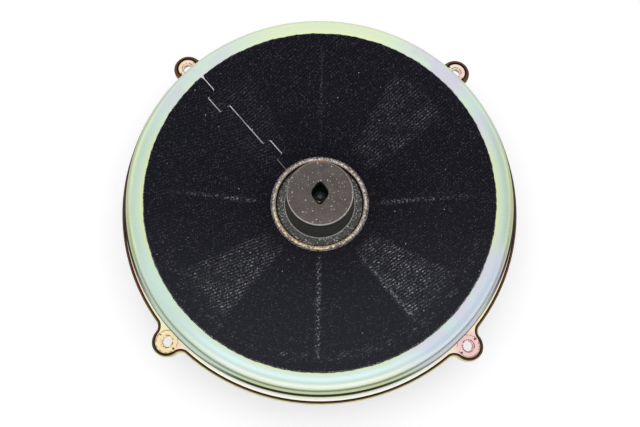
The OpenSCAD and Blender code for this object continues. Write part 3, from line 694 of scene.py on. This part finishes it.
def seam_offset(r):
    """Offset of the seam's line across its bearing: the jumps of all steps that lie outside the radius."""
    offset = OUTER_SHIFT * np.clip((r - SHIFT_FROM) / SHIFT_LENGTH, 0, 1)
    for at, jump in SEAM_STEPS:
        offset = offset - jump * (1 - past_step(r, at))
    return offset


print("seam offsets at 104, 91, 70, 47 and 36 mm", seam_offset(np.array([104, 91, 70, 47, 36])))


# %% The cloth's grid
def cloth_rows():
    """Radii of the rows, close together at the seam's steps and at the outer edge."""
    even = np.linspace(CLOTH_IN, CLOTH_OUT, EVEN_ROWS)
    at_steps = [np.linspace(at - 1.4, at + 1.4, STEP_ROWS) for at, _ in SEAM_STEPS]
    at_edge = [CLOTH_OUT - 0.35, CLOTH_OUT - 2.8]
    return np.unique(np.round(np.concatenate([even, *at_steps, at_edge]), 3))


def cloth_surface(r):
    """Radius, bearing and height of the top, with columns from one lip of the slit round to the other.
    Bearing = seam + offset / r, which fades out away from the seam. Height = dish + lift - sag over the
    windows, and the sag is least over the wide spokes, where the cosine of twice the bearing peaks."""
    turn = np.linspace(0, 2 * math.pi, COLUMNS)
    turn = np.concatenate([[0, 0], turn, [2 * math.pi] * 2])
    inward = np.zeros_like(turn)
    inward[1:3], inward[-3:-1] = (LIP, LIP + 0.06), (-LIP - 0.06, -LIP)
    notch = NOTCH_W * np.clip(1 - (CLOTH_OUT - r) / NOTCH_L, 0, 1) ** 1.3
    half = (SLIT / 2 + notch)[:, None]
    start = (seam_offset(r)[:, None] + half) / r[:, None]
    end = (seam_offset(r)[:, None] - half) / r[:, None]
    from_start = np.clip(1 - turn / SEAM_FADE, 0, 1)
    from_end = np.clip(1 - (2 * math.pi - turn) / SEAM_FADE, 0, 1)
    bearing = SEAM_TURN + turn + start * from_start + end * from_end + inward / r[:, None]
    ragged = 0.16 * np.sin(37 * turn) * np.sin(11 * turn + 1) + 0.1 * np.sin(121 * turn + 2)
    radius = r[:, None] + ragged * np.clip((r[:, None] - CLOTH_OUT + 3) / 3, 0, 1)
    spoke = np.abs(np.cos(2 * bearing)) ** 10
    outside, inside = (radius - WINDOWS_IN) / WINDOW_FADE, (WINDOWS_OUT - radius) / WINDOW_FADE
    sag = SAG * (1 - spoke) * np.clip(outside, 0, 1) * np.clip(inside, 0, 1)
    return radius, bearing, dish_height(radius) + GLUE_T + CLOTH_T / math.cos(SLOPE) - sag


def lip_strength(r):
    """How pale the slit's lips are at a radius: pale frayed threads, with a painted reflection of the metal
    under the slit. Each open stretch has its own values, and each ends in a hook that runs along the next
    step for a quarter of its jump, past which the lips close."""
    pale = np.interp(r, *zip(*LIP_PALENESS))
    for at, jump in SEAM_STEPS:
        moved = abs(jump) * past_step(r, at)
        pale = pale * np.clip((0.26 * abs(jump) - np.minimum(moved, abs(jump) - moved)) / 0.4, 0, 1)
    return pale


rows = cloth_rows()
radius, bearing, height = cloth_surface(rows)
print("cloth rows and columns", radius.shape)

# %% The cloth's mesh
radius, bearing, height = (np.pad(values, 1, mode="edge") for values in (radius, bearing, height))
height[[0, -1]] -= CLOTH_T
height[1:-1, [0, -1]] -= CLOTH_T
cloth = add_mesh("woven_cloth", around(radius, bearing, height), grid_faces(*radius.shape)[:, ::-1])
lips = np.zeros(radius.shape)
lips[1:-1, [0, 1, 2, -3, -2, -1]] = lip_strength(rows)[:, None]
cloth.data.attributes.new("lip", "FLOAT", "POINT").data.foreach_set("value", lips.astype(np.float32).ravel())
sharpen(cloth, 50)
print("with its border folded down the grid has", radius.shape, "points")

# %% The flat cut of the cloth
slant = radius / math.cos(SLOPE) * MM
opened = (bearing - SEAM_TURN - math.pi) * math.cos(SLOPE)
flat = np.stack([slant * np.cos(opened), slant * np.sin(opened)], axis=-1).reshape(-1, 2)
layer = cloth.data.uv_layers.new(name="flat")
corner = np.empty(len(cloth.data.loops), np.int32)
cloth.data.loops.foreach_get("vertex_index", corner)
layer.data.foreach_set("uv", flat[corner].astype(np.float32).ravel())

# %% [markdown]
# ## Worn black twill
# The weave runs one way over the flat cut, so its ribs turn a little round the cone as in the photograph.
# Where the metal spokes lie behind the cloth the ribs are rubbed grey: four wedges over the wide spokes and
# thin lines over the narrow ones. A painted picture would blur close up, so the wear is a mask from the
# bearing times streaks that are long along the ribs, with dust over all of it. The pattern reads the flat
# cut through a UV map.

# %% Where the cloth is rubbed
RIB_MM, THREAD_MM = 1.95, 1.3
WEAVE_TILT = math.radians(78)
WEDGES = [
    (223, 0.9763, 0.9848, 0.85),
    (317, 0.974, 0.984, 1.0),
    (47, 0.968, 0.98, 0.42),
    (133, 0.968, 0.98, 0.16),
]


def rubbed_wedges(f, clumps):
    """The strongest of the four wedges: each has its bearing, the cosines where it begins and is full, and
    its strength. Clumps make its outer end uneven."""
    wedges = 0.0
    for bearing, begins, full, strength in WEDGES:
        wedges = (f.toward(bearing).rise(begins, full) * strength).most(wedges)
    return wedges * f.r.rise(36.0, 46.0) * (f.r + clumps * 14.0).rise(106.0, 98.0)


def rubbed_lines(f, speckle, beads):
    """Beaded lines over the narrow spokes: strong on the near side, weaker to both sides and the far one."""
    down = f.x.near(0.0, 2.4) * f.y.rise(-33.0, -40.0) * f.y.rise(-104.0, -97.0)
    up = f.x.near(0.0, 1.5) * f.y.rise(34.0, 60.0) * f.r.rise(104.0, 90.0)
    level = f.y.near(0.0, 2.2) * f.x.size().rise(36.0, 46.0) * f.r.rise(104.0, 50.0)
    return (down * 0.7).most(up * 0.2).most(level * 0.6) * speckle * beads


def rubbed(f, ribs, along, across):
    """Streaks on the wedges' ribs, a dotted border beside one wedge, the lines, and a rim near the edge."""
    streak_place = f.node("ShaderNodeCombineXYZ", {}, along * 0.00045, across * 0.001, 0.0)[0]
    streaks = f.noise(1.5, 2.0, 0.65, where=streak_place)
    clumps = f.noise(0.12, 2.0)
    speckle = f.noise(1.1, 2.0, 0.7).rise(0.42, 0.6)
    beads = f.noise(0.85, 1.0, 0.6, where=f.moved((0.3, 0.0, 0.1))).rise(0.46, 0.62)
    rub = streaks.rise(0.45, 0.62) * (0.3 + clumps.rise(0.35, 0.65) * 0.9) * rubbed_wedges(f, clumps)
    rub = rub * ribs * (0.12 + beads * 0.88)
    border = f.toward(306.5).near(1.0, 0.00022) * f.r.rise(40.0, 50.0) * f.r.rise(99.0, 92.0) * 0.45
    rim = f.r.near(100.5, 3.5) * f.noise(0.25, 3.0, 0.7).rise(0.5, 0.66) * f.toward(NEAR).rise(0.1, 0.6) * 0.4
    return rub.most(border * beads).most(rubbed_lines(f, speckle, beads)).most(rim * ribs * speckle)


print("wedges at", [wedge[0] for wedge in WEDGES])


# %% Cloth finish
def cloth_finish():
    f = Finish("cloth", Roughness=0.92, Specular_IOR_Level=0.22)
    flat_place = f.node("ShaderNodeUVMap", {"uv_map": "flat"})[0]
    u, v = f.node("ShaderNodeSeparateXYZ", {}, flat_place)[:2]
    along = (u * math.cos(WEAVE_TILT) + v * math.sin(WEAVE_TILT)) / MM
    across = (v * math.cos(WEAVE_TILT) - u * math.sin(WEAVE_TILT)) / MM
    wander = f.noise(0.3, 2.0) - 0.5
    ribs = ((across + wander * 0.5) * (2 * math.pi / RIB_MM)).wave()
    threads = (along * (2 * math.pi / THREAD_MM) + ribs * 3.0).wave()
    weave = ribs * 0.6 + threads * ribs * 0.4
    rub = rubbed(f, ribs, along, across)
    grit = f.noise(0.95, 3.0, 0.8)
    dots = f.specks(0.62, 0.3, 0.3).most(f.specks(0.95, 0.4, 0.42) * 0.7)
    lint = f.specks(0.13, 0.065, 0.6, where=f.moved((0.2, 0.1, 0.0)))
    tone = f.mix(f.noise(0.02, 2.0).rise(0.35, 0.7), (0.0004, 0.0002, 0.0034), (0.0018, 0.0014, 0.0062))
    # Painted sheen: the cloth is lighter towards the near side.
    tone = f.mix(f.y.rise(15.0, -100.0) * 0.75, tone, (0.018, 0.0192, 0.0242))
    tone = f.mix(weave * 0.30, tone, (0.020, 0.021, 0.030))
    tone = f.mix(grit.rise(0.50, 0.66) * 0.22, tone, (0.060, 0.061, 0.075))
    tone = f.mix(rub, tone, (0.40, 0.40, 0.43))
    tone = f.mix(dots * (0.4 + rub * 0.5), tone, (0.20, 0.20, 0.23))
    fringe = f.r.rise(CLOTH_OUT - 0.6, CLOTH_OUT) * f.noise(1.2, 2.0).rise(0.45, 0.6)
    tone = f.mix(lint.most(fringe * 0.5), tone, (0.42, 0.42, 0.44))
    lip = f.node("ShaderNodeAttribute", {"attribute_name": "lip"})[2]
    # The slit's lips: pale frayed threads, with a painted reflection of the metal under the slit.
    tone = f.mix(lip * (0.6 + f.noise(0.5, 3.0, 0.6).rise(0.3, 0.5) * 0.4), tone, (0.98, 0.97, 1.0))
    return f.use(Base_Color=tone, Roughness=0.95 - rub * 0.12, bump=weave + dots * 0.4, depth_mm=0.07)


dress(cloth, "frame", "cloth", cloth_finish(), "acoustic_cloth")
print("cloth faces", len(cloth.data.polygons))

# %% [markdown]
# ## The moulded cover
# The cover is a plastic cap pushed over the motor's pot, with a keyed hole for a socket on the nut. All its
# sections are rings of the same number of points, so it lofts in one grid: up the inside, in under the top,
# up through the hole, out over the top from the hole's outline to a circle, and down the wall to a thin lip.
# Booleans would leave long thin faces round the hole, and a loft rounds the edges by a few more rings.

# %% Outline of the keyed hole
KEY_R, LOBE_R, LOBE_AT = 5.3, 2.3, 5.0


def key_radius(turn, grow=0.0):
    """Distance from the axis to the hole's outline at a bearing: a circle, two lobes along Y, and straight
    flanks that touch both, all grown by a width."""
    c, s = np.abs(np.cos(turn)), np.abs(np.sin(turn))
    middle, lobe = KEY_R + grow, LOBE_R + grow
    lean = math.asin((KEY_R - LOBE_R) / LOBE_AT)
    bearing = np.arctan2(s, c)
    flank = middle / np.maximum(np.cos(bearing - lean), 0.2)
    end = LOBE_AT * s + np.sqrt(np.maximum(lobe**2 - (LOBE_AT * c) ** 2, 0))
    touch = math.atan2(LOBE_AT + lobe * math.sin(lean), lobe * math.cos(lean))
    return np.where(bearing < lean, middle, np.where(bearing < touch, flank, end))


print("the hole reaches", key_radius(np.radians([0, 45, 90])).round(2), "mm at 0, 45 and 90 degrees")

# %% The cover's loft
COVER_TOP, BORE_MIDDLE, COVER_ROOF, COVER_FOOT = 17.42, 15.0, 11.42, -7.93
INNER_R, TOP_R, EDGE_R, HOLE_EDGE_R = 19.6, 20.1, 1.2, 0.35
WALL_LEAN, LIP_H = 1.65, 0.85
LIP_OUTLINE = [(23.25, 0.72), (23.42, 0.62), (23.5, 0.45), (23.5, 0.0)]


def cover_rings(turn):
    """Rings of (radius at each bearing, height), from the inner foot over the hole and the top to the outer
    foot. Between two outlines, radius = (1 - w) * inner outline + w * outer outline."""
    circle = np.ones_like(turn)
    edge_foot = COVER_TOP - EDGE_R
    rings = [(circle * INNER_R, COVER_FOOT), (circle * INNER_R, COVER_ROOF)]
    for w in np.linspace(0.3, 1, 5):
        rings.append((INNER_R + (key_radius(turn, 0.3) - INNER_R) * w, COVER_ROOF))
    for z in (COVER_ROOF + 0.3, BORE_MIDDLE, COVER_TOP - HOLE_EDGE_R):
        rings.append((key_radius(turn), z))
    for a in np.linspace(0.4, math.pi / 2, 4):
        grow = HOLE_EDGE_R * (1 - math.cos(a))
        rings.append((key_radius(turn, grow), COVER_TOP - HOLE_EDGE_R * (1 - math.sin(a))))
    for w in np.linspace(0.08, 1, 16) ** 1.2:
        rings.append((key_radius(turn, HOLE_EDGE_R) * (1 - w) + TOP_R * w, COVER_TOP))
    for a in np.linspace(0.15, math.pi / 2, 9):
        rings.append(((TOP_R + EDGE_R * math.sin(a)) * circle, COVER_TOP - EDGE_R * (1 - math.cos(a))))
    for w in np.linspace(0.1, 1, 6):
        drop = (edge_foot - COVER_FOOT - LIP_H) * w
        rings.append((circle * (TOP_R + EDGE_R + WALL_LEAN * w), edge_foot - drop))
    return rings + [(circle * r, COVER_FOOT + z) for r, z in LIP_OUTLINE]


turn = np.linspace(0, 2 * math.pi, 288, endpoint=False)
rings = cover_rings(turn)
radius = np.array([ring for ring, _ in rings])
height = np.array([z for _, z in rings])[:, None]
faces = grid_faces(*radius.shape, wrap_rows=True, wrap_columns=True)
cover = add_mesh("moulded_cover", around(radius, turn, height), faces[:, ::-1])
sharpen(cover, 55)
print("cover rings", len(rings), "faces", len(cover.data.polygons))

# %% [markdown]
# ## Dusty black plastic
# The cover's top has greyed and warmed with dust and handling, and is painted lighter towards the near side
# as sheen. Its edge and its foot's lip are smoother and carry a painted highlight, its wall is darker, a
# painted shadow lies under the top's edge, and the bore is painted black as shade. So height and the distance
# from the edge choose the tone, a fine noise gives the moulded grain, and white specks are grit that has
# stuck.


# %% Plastic finish
def plastic_finish():
    f = Finish("cover_plastic", IOR=1.5)
    grain = f.noise(3.0, 3.0, 0.6)
    cloud = f.noise(0.16, 3.0)
    top = f.z.rise(16.6, 17.3)
    dust = f.specks(0.45, 0.24, 0.36).most(f.specks(0.8, 0.34, 0.26) * 0.8)
    stains = f.noise(0.07, 3.0, where=f.moved((0.0, 0.2, 0.1))).rise(0.45, 0.7)
    tone = f.mix(cloud.rise(0.3, 0.7), (0.086, 0.068, 0.063), (0.120, 0.096, 0.090))
    tone = f.mix(stains * 0.4, tone, (0.135, 0.100, 0.098))
    tone = f.mix(f.noise(1.1, 3.0, 0.7).rise(0.42, 0.6) * 0.55, tone, (0.034, 0.028, 0.026))
    # Painted sheen: the top is lighter towards the near side.
    tone = f.mix(f.y.rise(-6.0, -19.0) * grain.rise(0.4, 0.6) * 0.4, tone, (0.16, 0.15, 0.14))
    wall = f.mix(f.noise(0.9, 3.0, 0.7).rise(0.4, 0.6), (0.026, 0.027, 0.026), (0.055, 0.056, 0.055))
    tone = f.mix(top, wall, tone)
    # The foot's lip and the top's edge carry a painted highlight, strongest on the near side.
    lip = f.z.rise(-6.9, -7.2) * f.r.rise(22.7, 22.9)
    edge = f.r.near(20.6, 0.6) * f.z.rise(16.6, 17.1) * (0.35 + f.toward(285).rise(-0.6, 0.6) * 0.65)
    # Painted shadow under the top's edge.
    under = f.z.near(15.2, 1.5).rise(0.0, 0.6) * f.r.rise(20.8, 21.2)
    tone = f.mix(under * 0.8, tone, (0.003, 0.003, 0.003))
    tone = f.mix((lip * 0.8).most(edge * 0.85) * grain.rise(0.25, 0.5), tone, (0.52, 0.51, 0.48))
    tone = f.mix(dust * (0.15 + top * 0.8), tone, (0.66, 0.64, 0.60))
    # Painted shade: black inside the keyed hole.
    bore = f.r.rise(8.0, 7.2) * f.z.rise(17.3, 16.8)
    tone = f.mix(bore, tone, (0.004, 0.004, 0.004))
    rough = 0.66 - edge * 0.25 - lip * 0.2 + grain * 0.12
    return f.use(Base_Color=tone, Roughness=rough, bump=grain + dust, depth_mm=0.03)


dress(cover, "frame", "cover_plastic", plastic_finish(), "magnet_cover")
print("plastic nodes", len(cover.data.materials[0].node_tree.nodes))

# %% [markdown]
# ## The front plate
# The steel plate round the cover has a rough black coating, the kind that is sprayed on and left coarse, and
# pale dust has settled in its pits. Pits in the mesh would need a very fine grid for a ring that is hardly
# 5 mm wide, so noise at two scales makes them as bump and tone, and two sizes of specks are the dust.


# %% Plate finish
def plate_finish():
    f = Finish("plate_coating", Specular_IOR_Level=0.35)
    pits = f.noise(1.1, 3.0, 0.65) * 0.6 + f.noise(3.5, 2.0, 0.6) * 0.4
    dust = f.specks(0.7, 0.42, 0.38).most(f.specks(1.0, 0.46, 0.36) * 0.9)
    tone = f.mix(pits.rise(0.42, 0.58), (0.026, 0.026, 0.024), (0.185, 0.186, 0.174))
    tone = f.mix(dust, tone, (0.86, 0.86, 0.82))
    # Painted shade: black at the plate's outer edge, in the gap round it.
    tone = f.mix(f.r.rise(28.0, 28.3), tone, (0.01, 0.008, 0.007))
    return f.use(Base_Color=tone, Roughness=0.75 - pits * 0.2, bump=pits, depth_mm=0.12)


plate = smooth_copy("front_plate", "coated_plate")
dress(plate, "frame", "plate_coating", plate_finish(), "front_plate")
print("plate faces", len(plate.data.polygons))

# %% [markdown]
# ## Small metal parts
# Turned steel shows fine rings round its axis, plated parts show cloudy patches, and the winding shows its
# turns. One function makes them all: a colour, a second colour for the clouds, and a pitch for lines round
# the axis or up it. Separate materials by hand would say the same thing eight times.


# %% One maker for metals
def metal(name, colour, second, rough, line_mm=0.0, upright=False, shine=1.0, dark_top=None, copper_glint_side=None):
    """Clouds of two colours with pale scratches. Above its dark top a piece lies in the keyed hole's shade,
    painted near-black, and past its glint side, on the near side of the axis, a copper glint is painted."""
    f = Finish(name, Metallic=shine)
    cloud = f.noise(0.35, 3.0, 0.6)
    scratch = f.noise(1.5, 2.0, where=f.moved((0, 0, 0), (1.0, 1.0, 0.15)))
    lines = scratch
    if line_mm:
        lines = ((f.z if upright else f.r) * (2 * math.pi / line_mm)).wave()
    tone = f.mix(cloud.rise(0.35, 0.7), colour, second)
    tone = f.mix(scratch.rise(0.62, 0.72) * 0.3, tone, (0.9, 0.88, 0.84))
    if dark_top:
        tone = f.mix(f.z.rise(dark_top - 0.4, dark_top) * 0.97, tone, (0.004, 0.004, 0.004))
    # Painted glint: copper on the near side of the axis.
    if copper_glint_side:
        worn = f.y.rise(copper_glint_side, copper_glint_side - 0.6) * f.x.near(-0.5, 1.3)
        tone = f.mix(worn, tone, (0.75, 0.42, 0.16))
    bump = lines * 0.7 + scratch * 0.3
    depth_mm = 0.02 if line_mm else 0.008
    return f.use(Base_Color=tone, Roughness=rough + cloud * 0.2 - 0.1, bump=bump, depth_mm=depth_mm)


METALS = {
    "plain_steel": metal("plain_steel", (0.30, 0.30, 0.31), (0.45, 0.44, 0.42), 0.4, 0.35, dark_top=5.6),
    "magnet_plating": metal("magnet_plating", (0.66, 0.66, 0.66), (0.74, 0.73, 0.70), 0.2),
    "zinc_bolt": metal("zinc_bolt", (0.24, 0.24, 0.24), (0.32, 0.32, 0.32), 0.5, shine=0.3),
    # Painted shade: the nut in the keyed hole is near-black, and it has a painted copper glint.
    "zinc_nut": metal("zinc_nut", (0.016, 0.016, 0.017), (0.034, 0.031, 0.030), 0.5, copper_glint_side=-2.7),
    "copper_wire": metal("copper_wire", (0.58, 0.25, 0.10), (0.72, 0.36, 0.17), 0.3, 0.28, True),
    "tinned_brass": metal("tinned_brass", (0.62, 0.61, 0.58), (0.72, 0.70, 0.62), 0.3),
    "tinsel_copper": metal("tinsel_copper", (0.62, 0.33, 0.16), (0.80, 0.52, 0.30), 0.4, 0.5, True),
    "eyelet_brass": metal("eyelet_brass", (0.62, 0.45, 0.18), (0.76, 0.60, 0.30), 0.3),
}
print("metals", sorted(METALS))

# %% [markdown]
# ## Paper, cotton, film and rubber
# The cone and the cap are pressed from black paper pulp, which shows short fibres; the spider is cotton
# stiffened with resin; the gasket is board; the terminal board is resin paper. Particle hair could be their
# fibres, but they lie flat and are fine, so one maker does it with two tones, noise stretched in two
# directions, and a bump.


# %% One maker for fibres and rubber
def matter(name, dark, light, rough, fibre=0.5, per_mm=1.2, weave_mm=0.0):
    """Clouds of two tones under fibres that lie along X and Y, with a square weave where one is asked for."""
    f = Finish(name, Specular_IOR_Level=0.3)
    one = f.noise(per_mm, 2.0, 0.6, where=f.moved((0, 0, 0), (0.18, 1.0, 1.0)))
    two = f.noise(per_mm, 2.0, 0.6, where=f.moved((0.1, 0.1, 0), (1.0, 0.18, 1.0)))
    fibres = one.rise(0.55, 0.66).most(two.rise(0.55, 0.66))
    height = fibres
    if weave_mm:
        turns = 2 * math.pi / weave_mm
        height = (f.x * turns).wave() * 0.5 + (f.y * turns).wave() * 0.5
    tone = f.mix(f.noise(0.06, 3.0).rise(0.3, 0.7), dark, light)
    tone = f.mix(fibres * fibre, tone, tuple(min(1.0, 1.9 * c + 0.01) for c in light))
    return f.use(Base_Color=tone, Roughness=rough - fibres * 0.1, bump=height, depth_mm=0.04)


SOFT = {
    "cone_pulp": matter("cone_pulp", (0.016, 0.016, 0.018), (0.030, 0.030, 0.032), 0.85),
    "cap_pulp": matter("cap_pulp", (0.012, 0.012, 0.014), (0.022, 0.022, 0.024), 0.7, 0.3),
    "surround_rubber": matter("surround_rubber", (0.01, 0.01, 0.011), (0.018, 0.018, 0.019), 0.6, 0.08, 2.5),
    "grommet_rubber": matter("grommet_rubber", (0.01, 0.01, 0.01), (0.016, 0.016, 0.016), 0.55, 0.05, 2.5),
    "gasket_board": matter("gasket_board", (0.15, 0.12, 0.085), (0.24, 0.20, 0.15), 0.9, 0.5, 0.9),
    "hard_paper": matter("hard_paper", (0.20, 0.085, 0.035), (0.30, 0.14, 0.06), 0.5, 0.2, 1.0),
    "former_film": matter("former_film", (0.42, 0.22, 0.07), (0.50, 0.29, 0.10), 0.35, 0.1, 1.0),
    "spider_cotton": matter("spider_cotton", (0.50, 0.37, 0.14), (0.62, 0.48, 0.22), 0.85, 0.2, 1.4, 0.7),
}
print("soft finishes", sorted(SOFT))

# %% [markdown]
# ## Parts that keep their form
# The motor, the gasket, the terminals and the stiff moving parts are turned, stamped or pressed, and their
# solids are already right. They could be left as they come, but their flat triangles would show and take no
# bump, so each gets a smooth copy with its finish. Those of the cone's assembly ride on the moving body.

# %% Rigid parts
RIGID = [
    ("yoke_pot", "frame", "plain_steel"),
    ("magnet", "frame", "magnet_plating"),
    ("pole_piece", "frame", "plain_steel"),
    ("pole_bolt", "frame", "zinc_bolt"),
    ("pole_nut", "frame", "zinc_nut"),
    ("plate_screws", "frame", "zinc_bolt"),
    ("gasket", "frame", "gasket_board"),
    ("terminal_board", "frame", "hard_paper"),
    ("terminal_positive", "frame", "tinned_brass"),
    ("terminal_negative", "frame", "tinned_brass"),
    ("terminal_rivets", "frame", "tinned_brass"),
    ("wire_grommet", "frame", "grommet_rubber"),
    ("coil_former", "cone_assembly", "former_film"),
    ("voice_coil", "cone_assembly", "copper_wire"),
    ("cone", "cone_assembly", "cone_pulp"),
    ("dust_cap", "cone_assembly", "cap_pulp"),
    ("lead_eyelets", "cone_assembly", "eyelet_brass"),
    ("spider_ring", "frame", "zinc_steel"),
]
FINISHES = {"zinc_steel": ZINC, **METALS, **SOFT}
for node, body, slot_name in RIGID:
    dress(smooth_copy(node, "made_" + node), body, slot_name, FINISHES[slot_name], node)
print("rigid copies", len(RIGID))

# %% [markdown]
# ## Parts that stretch with the cone
# The surround and the spider hold the moving cone to the fixed frame, and bend as it travels. A blend between
# the two bodies runs along one straight direction, while these parts run out from the middle all the way
# round. So each is made of sectors, and neighbours share their border's points.

# %% Sectors of a ring
SECTOR_STEPS = 6


def blended_ring(name, profile, count, slot_name, node):
    """The profile swept through each sector's angle."""
    width = 2 * math.pi / count
    for k in range(count):
        turns = np.linspace(k * width, (k + 1) * width, SECTOR_STEPS + 1)
        piece = sweep(f"{name}_{k + 1:02d}", profile, turns)
        dress(piece, None, slot_name, SOFT[slot_name], node)
        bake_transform(piece)
    print(name, "has", count, "sectors of", len(profile), "points by", SECTOR_STEPS + 1)


# %% The rubber surround
ROLL_AT, ROLL_R, RUBBER_T = 111.3, 6.2, 1.0
LAND_IN, LAND_OUT, LAND_Z = 100.1, 124.8, 2.15


def surround_profile():
    """A half circle between two flat lands, half the rubber's thickness over and under its middle line."""
    half = RUBBER_T / 2
    over, under = LAND_Z + half, LAND_Z - half
    profile = [(LAND_IN, over), (104.5, over)] + arc(ROLL_AT, LAND_Z, ROLL_R + half, 175, 5, 20)
    profile += [(118.2, over), (LAND_OUT, over), (LAND_OUT, under), (117.0, under)]
    return profile + arc(ROLL_AT, LAND_Z, ROLL_R - half, 0, 180, 20) + [(105.6, under), (LAND_IN, under)]


blended_ring("rubber_surround", surround_profile(), 24, "surround_rubber", "surround")

# %% The cotton spider
HUB_IN, HUB_OUT, WAVE_OUT, SPIDER_OUT = 13.15, 15.55, 34.0, 38.0
COTTON_T, SPIDER_DROP = 0.6, 2.2
WAVE_DEPTH, WAVES = 0.8, 4


def spider_profile():
    """Height = a straight drop from the glued edge to the hub, plus sine waves."""
    glued_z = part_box("spider")[1][2] / MM - COTTON_T
    s = np.linspace(0, 1, 49)
    r = HUB_OUT + (WAVE_OUT - HUB_OUT) * s
    z = glued_z - SPIDER_DROP * (1 - s) + WAVE_DEPTH * np.sin(2 * math.pi * WAVES * s)
    under = [(HUB_IN, z[0]), *zip(r, z), (SPIDER_OUT, glued_z)]
    return [(a, b + COTTON_T) for a, b in under] + under[::-1]


blended_ring("cotton_spider", spider_profile(), 12, "spider_cotton", "spider")

# %% [markdown]
# ## The tinsel leads
# Two braids carry the current from the fixed tags to the moving cone, and flex with it. A curve with a bevel
# could draw them again, but their solids already follow the right path, so they are copied.

# %% Leads between the bodies
for side in ("positive", "negative"):
    node = "tinsel_lead_" + side
    lead = smooth_copy(node, "braided_" + node)
    dress(lead, None, "tinsel_copper", METALS["tinsel_copper"], node)
    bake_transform(lead)

# %% [markdown]
# ## Light and table
# The photograph is lit evenly from above on a white ground, brightest from the near side, and the metal
# mirrors a thin darker band where the lights end above the table. Boxes of light could be built round the
# object, but a world says it in a few nodes: white overhead, and a grey band just over the horizon for mirror
# rays only. The floor is pale and catches a faint shadow.


# %% Lamps
def soft_lamp(name, place, size, power):
    """A square lamp at that place in metres, turned to face the middle of the object."""
    lamp = bpy.data.objects.new(name, bpy.data.lights.new(name, "AREA"))
    lamp.data.energy, lamp.data.size = power, size
    lamp.location = place
    x, y, z = place
    lamp.rotation_euler = (math.atan2(math.hypot(x, y), z), 0, math.atan2(-x, y))
    bpy.context.scene.collection.objects.link(lamp)


soft_lamp("near_window", (0.0, -1.12, 1.08), 0.9, 3.4)
soft_lamp("left_lamp", (-1.32, -0.55, 0.42), 0.4, 1.2)
soft_lamp("right_lamp", (1.32, -0.75, 0.42), 0.4, 1.2)
print("lamps", len(bpy.data.lights))

# %% Floor
FLOOR_HALF, FLOOR_GAP = 4000, 0.2
reach = FLOOR_HALF * MM
floor_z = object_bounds()[0][2] - FLOOR_GAP * MM
corners = [(x * reach, y * reach, floor_z) for x, y in ((-1, -1), (1, -1), (1, 1), (-1, 1))]
floor = add_mesh("floor", corners, [(0, 1, 2, 3)])
paper = Finish("floor_paper", Roughness=0.9, Emission_Strength=1.0)
camera_ray = paper.node("ShaderNodeLightPath", {})[0]
floor.data.materials.append(
    paper.use(
        Base_Color=paper.mix(paper.noise(0.02, 2.0), (0.88, 0.88, 0.88), (0.91, 0.91, 0.91)),
        Emission_Color=paper.mix(camera_ray, (0.0, 0.0, 0.0), (0.28, 0.28, 0.285)),
    )
)
print("floor at", round(floor_z, 4))

# %% World
HORIZON_GREYS = [(0.0, 0.85), (0.03, 0.3), (0.16, 0.42), (0.34, 0.94), (1.0, 1.02)]
FAR_WALL = 0.45


def bright_room():
    """Mirror rays see greys over the height, which fade to white on the far side. Other rays see white."""
    world = bpy.data.worlds.new("studio")
    bpy.context.scene.world = world
    world.use_nodes = True
    room = Wiring(world.node_tree)
    way = room.node("ShaderNodeTexCoord", {})[0]
    way_y, way_z = room.node("ShaderNodeSeparateXYZ", {}, way)[1:]
    greys = room.ramp(way_z, *[(at, (grey, grey, grey)) for at, grey in HORIZON_GREYS])
    far_side = room.node("ShaderNodeMapRange", {}, way_y, 0.0, FAR_WALL)[0]
    glossy_ray = room.node("ShaderNodeLightPath", {})[3]
    colour = room.mix(glossy_ray, (0.95, 0.95, 0.95), room.mix(far_side, greys, (1.0, 1.0, 1.0)))
    room.tree.links.new(colour.socket, room.tree.nodes["Background"].inputs["Color"])
    return world


print("world nodes", len(bright_room().node_tree.nodes))
bpy.context.scene.view_settings.view_transform = "Standard"
